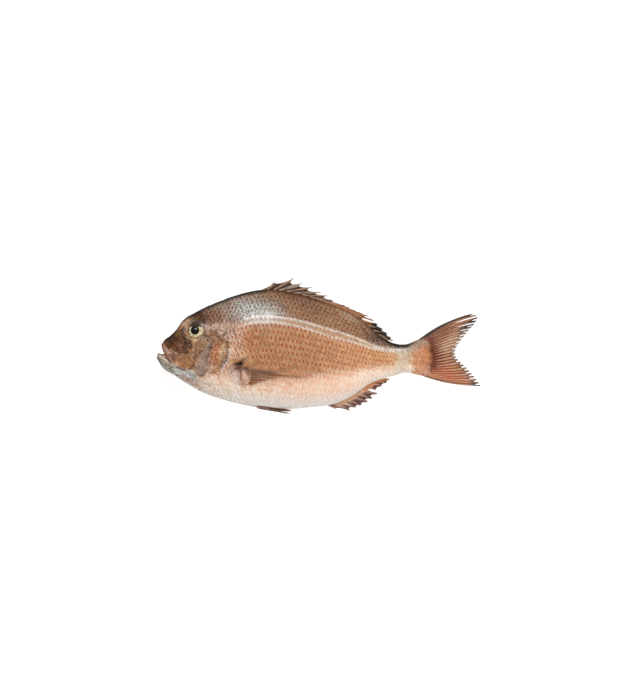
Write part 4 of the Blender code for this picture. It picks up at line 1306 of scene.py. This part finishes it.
TAIL_RAYS = 25
TAIL_BASE = ((104, 1), (113, 2.5), (119, -3), (120.5, -13), (119, -23), (113, -29), (103.5, -28.5))
TAIL_EDGE = (
    (170.5, 35.6), (176.8, 32.3), (174.5, 27), (163, 13.5),
    (150.5, -10.5), (163.5, -24.5), (174, -36.5), (179.9, -45),
)
TAIL_BOW = (4.5, -4.0)  # how far the uppermost and the lowest ray bow outwards
# How deep the skin behind each ray is torn, from the top down.
TAIL_TEARS = (0.05, 0.34, 0.06, 0.3, 0.08, 0.2, 0.07, 0.12, 0.08, *[0.09, 0.06] * 7, 0.05, 0)


def even_fan(count, base_line, edge_line, tears, **shape):
    """Rays evenly spread over a base line and an edge line."""
    return Fan(through(base_line, count), through(edge_line, count), tears, **shape)


tail_look = {
    "ground": "#a4704e", "ray": "#d8a680", "web": "#4a1a06", "contrast": 0.55,
    "patches": (
        ("#a98465", (150, 8), (26, 12), 28, 0.8),
        ("#9c6848", (135, 8), (14, 8), 28, 0.8),
        ("#b84e22", (138, -31), (30, 8), -16, 0.95),
        ("#b48670", (168, -38), (10, 6), -30, 0.6),
        ("#6a2204", (129, -10), (10, 18), 0, 1.0),
        ("#7d3a18", (130, 7), (13, 6), 28, 0.85),
        ("#b86a40", (113, -14), (8, 22), 0, 0.9),
        ("#84401c", (137, 13), (13, 5), 36, 0.85),
        ("#8d4d2c", (152, 22), (15, 4), 33, 0.75),
        ("#c8a488", (145, 2), (13, 7), 34, 0.75),
    ),
    "edges": (
        ("#332b26", ((163, 21), (175, 28)), 3.5, 0.85),
        ("#6f371a", ((120, 7), (132, 13.5), (143, 18.5)), 5, 0.6),
        ("#6a2608", ((122, 9), (126, 1), (127.5, -10), (126.5, -23)), 4.5, 0.9),
        ("#1e1611", ((104, 2.4), (119, 12), (135, 22.2), (152, 30.8), (170, 35.4)), 2.6, 1.0),
        ("#3a2c24", ((158, 17), (176, 30)), 3.5, 0.85),
        ("#40352e", TAIL_EDGE[2:], 5, 0.75),
        ("#4a2a1a", ((104, -29.5), (122, -36), (141, -41.5), (165, -46), (179, -46)), 1.6, 0.8),
        ("#2e2823", ((172, -43), (180, -45)), 3, 0.9),
    ),
}
tail = even_fan(TAIL_RAYS, TAIL_BASE, TAIL_EDGE, TAIL_TEARS, bows=TAIL_BOW, slit=2.5)
place_fin("tail_fin", "tail_skin", tail, tail_look, (0.8, 0.5),
          rows=30, fold=0.3, ragged=0.035, seed=5)

# ---- Pectoral and pelvic fins ------------------------------------------------------------
# Soft rays in thin skin. The pectoral fins grow out of a fleshy pad behind the gills and lie
# folded back against the flanks, and the pelvic pair, with one spine each, trails under the belly.

PECTORAL_RAYS, PELVIC_RAYS = 14, 6
PECTORAL_BASE = ((-91, -25), (-80, -43))
PECTORAL_EDGE = ((-10.5, -35), (-24, -34), (-42, -33.6), (-60.5, -38), (-74, -43))
PECTORAL_BOW = (1.8, 0.5)  # how far the uppermost and the lowest ray bow upwards
PECTORAL_LIFT = (-0.8, 2.2)  # height over the skin at the root and at the tips
# Lines of the roots and of the tips. The lower one of the pair lies a little behind and below.
PELVIC_LINES = {
    "left": (((-70, -66), (-64, -68.2)), ((-28.8, -71.4), (-33, -72.4), (-43, -72.4))),
    "right": (((-67, -69.2), (-63, -70.4)), ((-32.5, -75.2), (-37, -75.4))),
}
PELVIC_SPREAD = (3.0, 7.0)  # distance from the middle plane at the root and at the tips
TABLE_CLEARANCE = 0.9  # least height of a thin fin's own middle over the table
pectoral_look = {
    "ground": "#8c5c3e", "ray": "#b4845c", "web": "#4a2612", "contrast": 0.42,
    "patches": (
        ("#4e2e20", (-74, -30), (13, 7), -5, 0.9),
        ("#a07c60", (-62, -34), (10, 3.5), -4, 0.6),
        ("#63402c", (-50, -30), (22, 2), -4, 0.75),
        ("#ecc8a4", (-30, -32), (18, 2.6), -10, 0.85),
        ("#b87a44", (-18, -34.5), (12, 2.4), -8, 0.65),
    ),
    "edges": (
        ("#a8622f", ((-91, -43), (-74, -43), (-60.5, -38.8), (-42, -33.4), (-24, -34.4)), 2.2, 0.75),
        ("#c8a68c", ((-78, -25), (-60, -25), (-42, -27.3), (-20, -33)), 0.9, 0.7),
    ),
}
pelvic_look = {
    "ground": "#6a4228", "ray": "#94705a", "web": "#2c1c14", "contrast": 0.5,
    "patches": (
        ("#6b3a1a", (-52, -68.6), (13, 2), -8, 0.9),
        ("#2b2626", (-40, -74), (18, 2.4), -8, 0.8),
    ),
    "edges": (),
}
for side_name, side in (("left", 1), ("right", -1)):
    def against_flank(x, y, share, side=side):
        """Height of the pectoral fin, which lies on the skin and lifts off it to the tips."""
        lift = PECTORAL_LIFT[0] + (PECTORAL_LIFT[1] - PECTORAL_LIFT[0]) * np.sqrt(np.clip(share, 0, 1))
        lift = lift - 2.6 * blob(x, y, *PECTORAL_PAD)  # the pad covers the roots of the rays
        return np.maximum(TABLE_CLEARANCE, skin_z(x, y, side) + side * lift)

    def beside_belly(x, y, share, side=side):
        """Height of the pelvic fin, which spreads off the middle plane and clears the belly."""
        spread = PELVIC_SPREAD[0] + (PELVIC_SPREAD[1] - PELVIC_SPREAD[0]) * share
        reach = np.abs(skin_z(x, y, side) - middle_z(x)) - 0.5 + 1.3 * smooth_step(0, 0.2, share)
        return np.maximum(TABLE_CLEARANCE, middle_z(x) + side * np.maximum(spread, reach))

    pectoral = even_fan(PECTORAL_RAYS, PECTORAL_BASE, PECTORAL_EDGE, [0.05] * PECTORAL_RAYS,
                        bows=PECTORAL_BOW, height_of=against_flank)
    place_fin("pectoral_fin_" + side_name, "pale_fin", pectoral, pectoral_look, (0.5, 0.22),
              between=6, rows=24, fold=0.3, ragged=0.02, seed=6)
    pelvic = even_fan(PELVIC_RAYS, *PELVIC_LINES[side_name], [0.04] * PELVIC_RAYS, height_of=beside_belly)
    place_fin("pelvic_fin_" + side_name, "dark_fin", pelvic, pelvic_look, (0.6, 0.25), 1,
              between=6, fold=0.4, ragged=0.04, seed=8)

# ---- Stage -------------------------------------------------------------------------------
# A white table under even studio light, and a camera straight above the fish. None of it is
# part of the fish. Sizes here are in metres.

FLOOR_REACH, FLOOR_DROP = 3.0, 0.0002  # half its side, and how far it lies under the fish
floor_mesh = bpy.data.meshes.new("floor")
corners = [(x * FLOOR_REACH, y * FLOOR_REACH, 0) for x, y in ((-1, -1), (1, -1), (1, 1), (-1, 1))]
floor_mesh.from_pydata(corners, [], [(0, 1, 2, 3)])
# Matt white paper, lit from below as a light table is, so that it stays white under soft light.
table = material(
    "white_studio_table", 0.9, Base_Color=(*linear("#f6f6f6"), 1), Specular_IOR_Level=0.0,
    Emission_Color=(1, 1, 1, 1), Emission_Strength=0.45,
)[0]
floor = add_object("floor", floor_mesh, table)
floor.location.z = -FLOOR_DROP
floor.visible_glossy = False  # so that wet skin keeps its dark edges over the white table

world = bpy.data.worlds.new("studio")
world.use_nodes = True
world.node_tree.nodes["Background"].inputs["Color"].default_value = (1, 1, 1, 1)
world.node_tree.nodes["Background"].inputs["Strength"].default_value = 0.3
bpy.context.scene.world = world


def area_light(name, place, power, size):
    """A square soft light, aimed at the middle of the fish."""
    lamp = bpy.data.lights.new(name, "AREA")
    lamp.energy, lamp.size = power, size
    made = bpy.data.objects.new(name, lamp)
    made.location = place
    made.rotation_euler = Vector(place).to_track_quat("Z", "Y").to_euler()
    bpy.context.scene.collection.objects.link(made)


area_light("key", (-0.2, 0.9, 1.15), 12.5, 0.35)
area_light("fill", (0.9, -0.7, 1.0), 11, 0.35)

PICTURE_WIDTH = FISH_LENGTH * MM / 0.508125  # the fish fills just over half of the width
PICTURE_MIDDLE = (0.4 * MM, 0.1 * MM)
lens = bpy.data.cameras.new("camera")
lens.lens, lens.sensor_width, lens.sensor_fit = 100, 36, "HORIZONTAL"
camera = bpy.data.objects.new("camera", lens)
height = PICTURE_WIDTH * lens.lens / lens.sensor_width
camera.location = (*PICTURE_MIDDLE, height + MIDDLE_HEIGHT * MM)
lens.clip_end = 10
bpy.context.scene.collection.objects.link(camera)
bpy.context.scene.camera = camera
bpy.context.scene.view_settings.view_transform = "Standard"
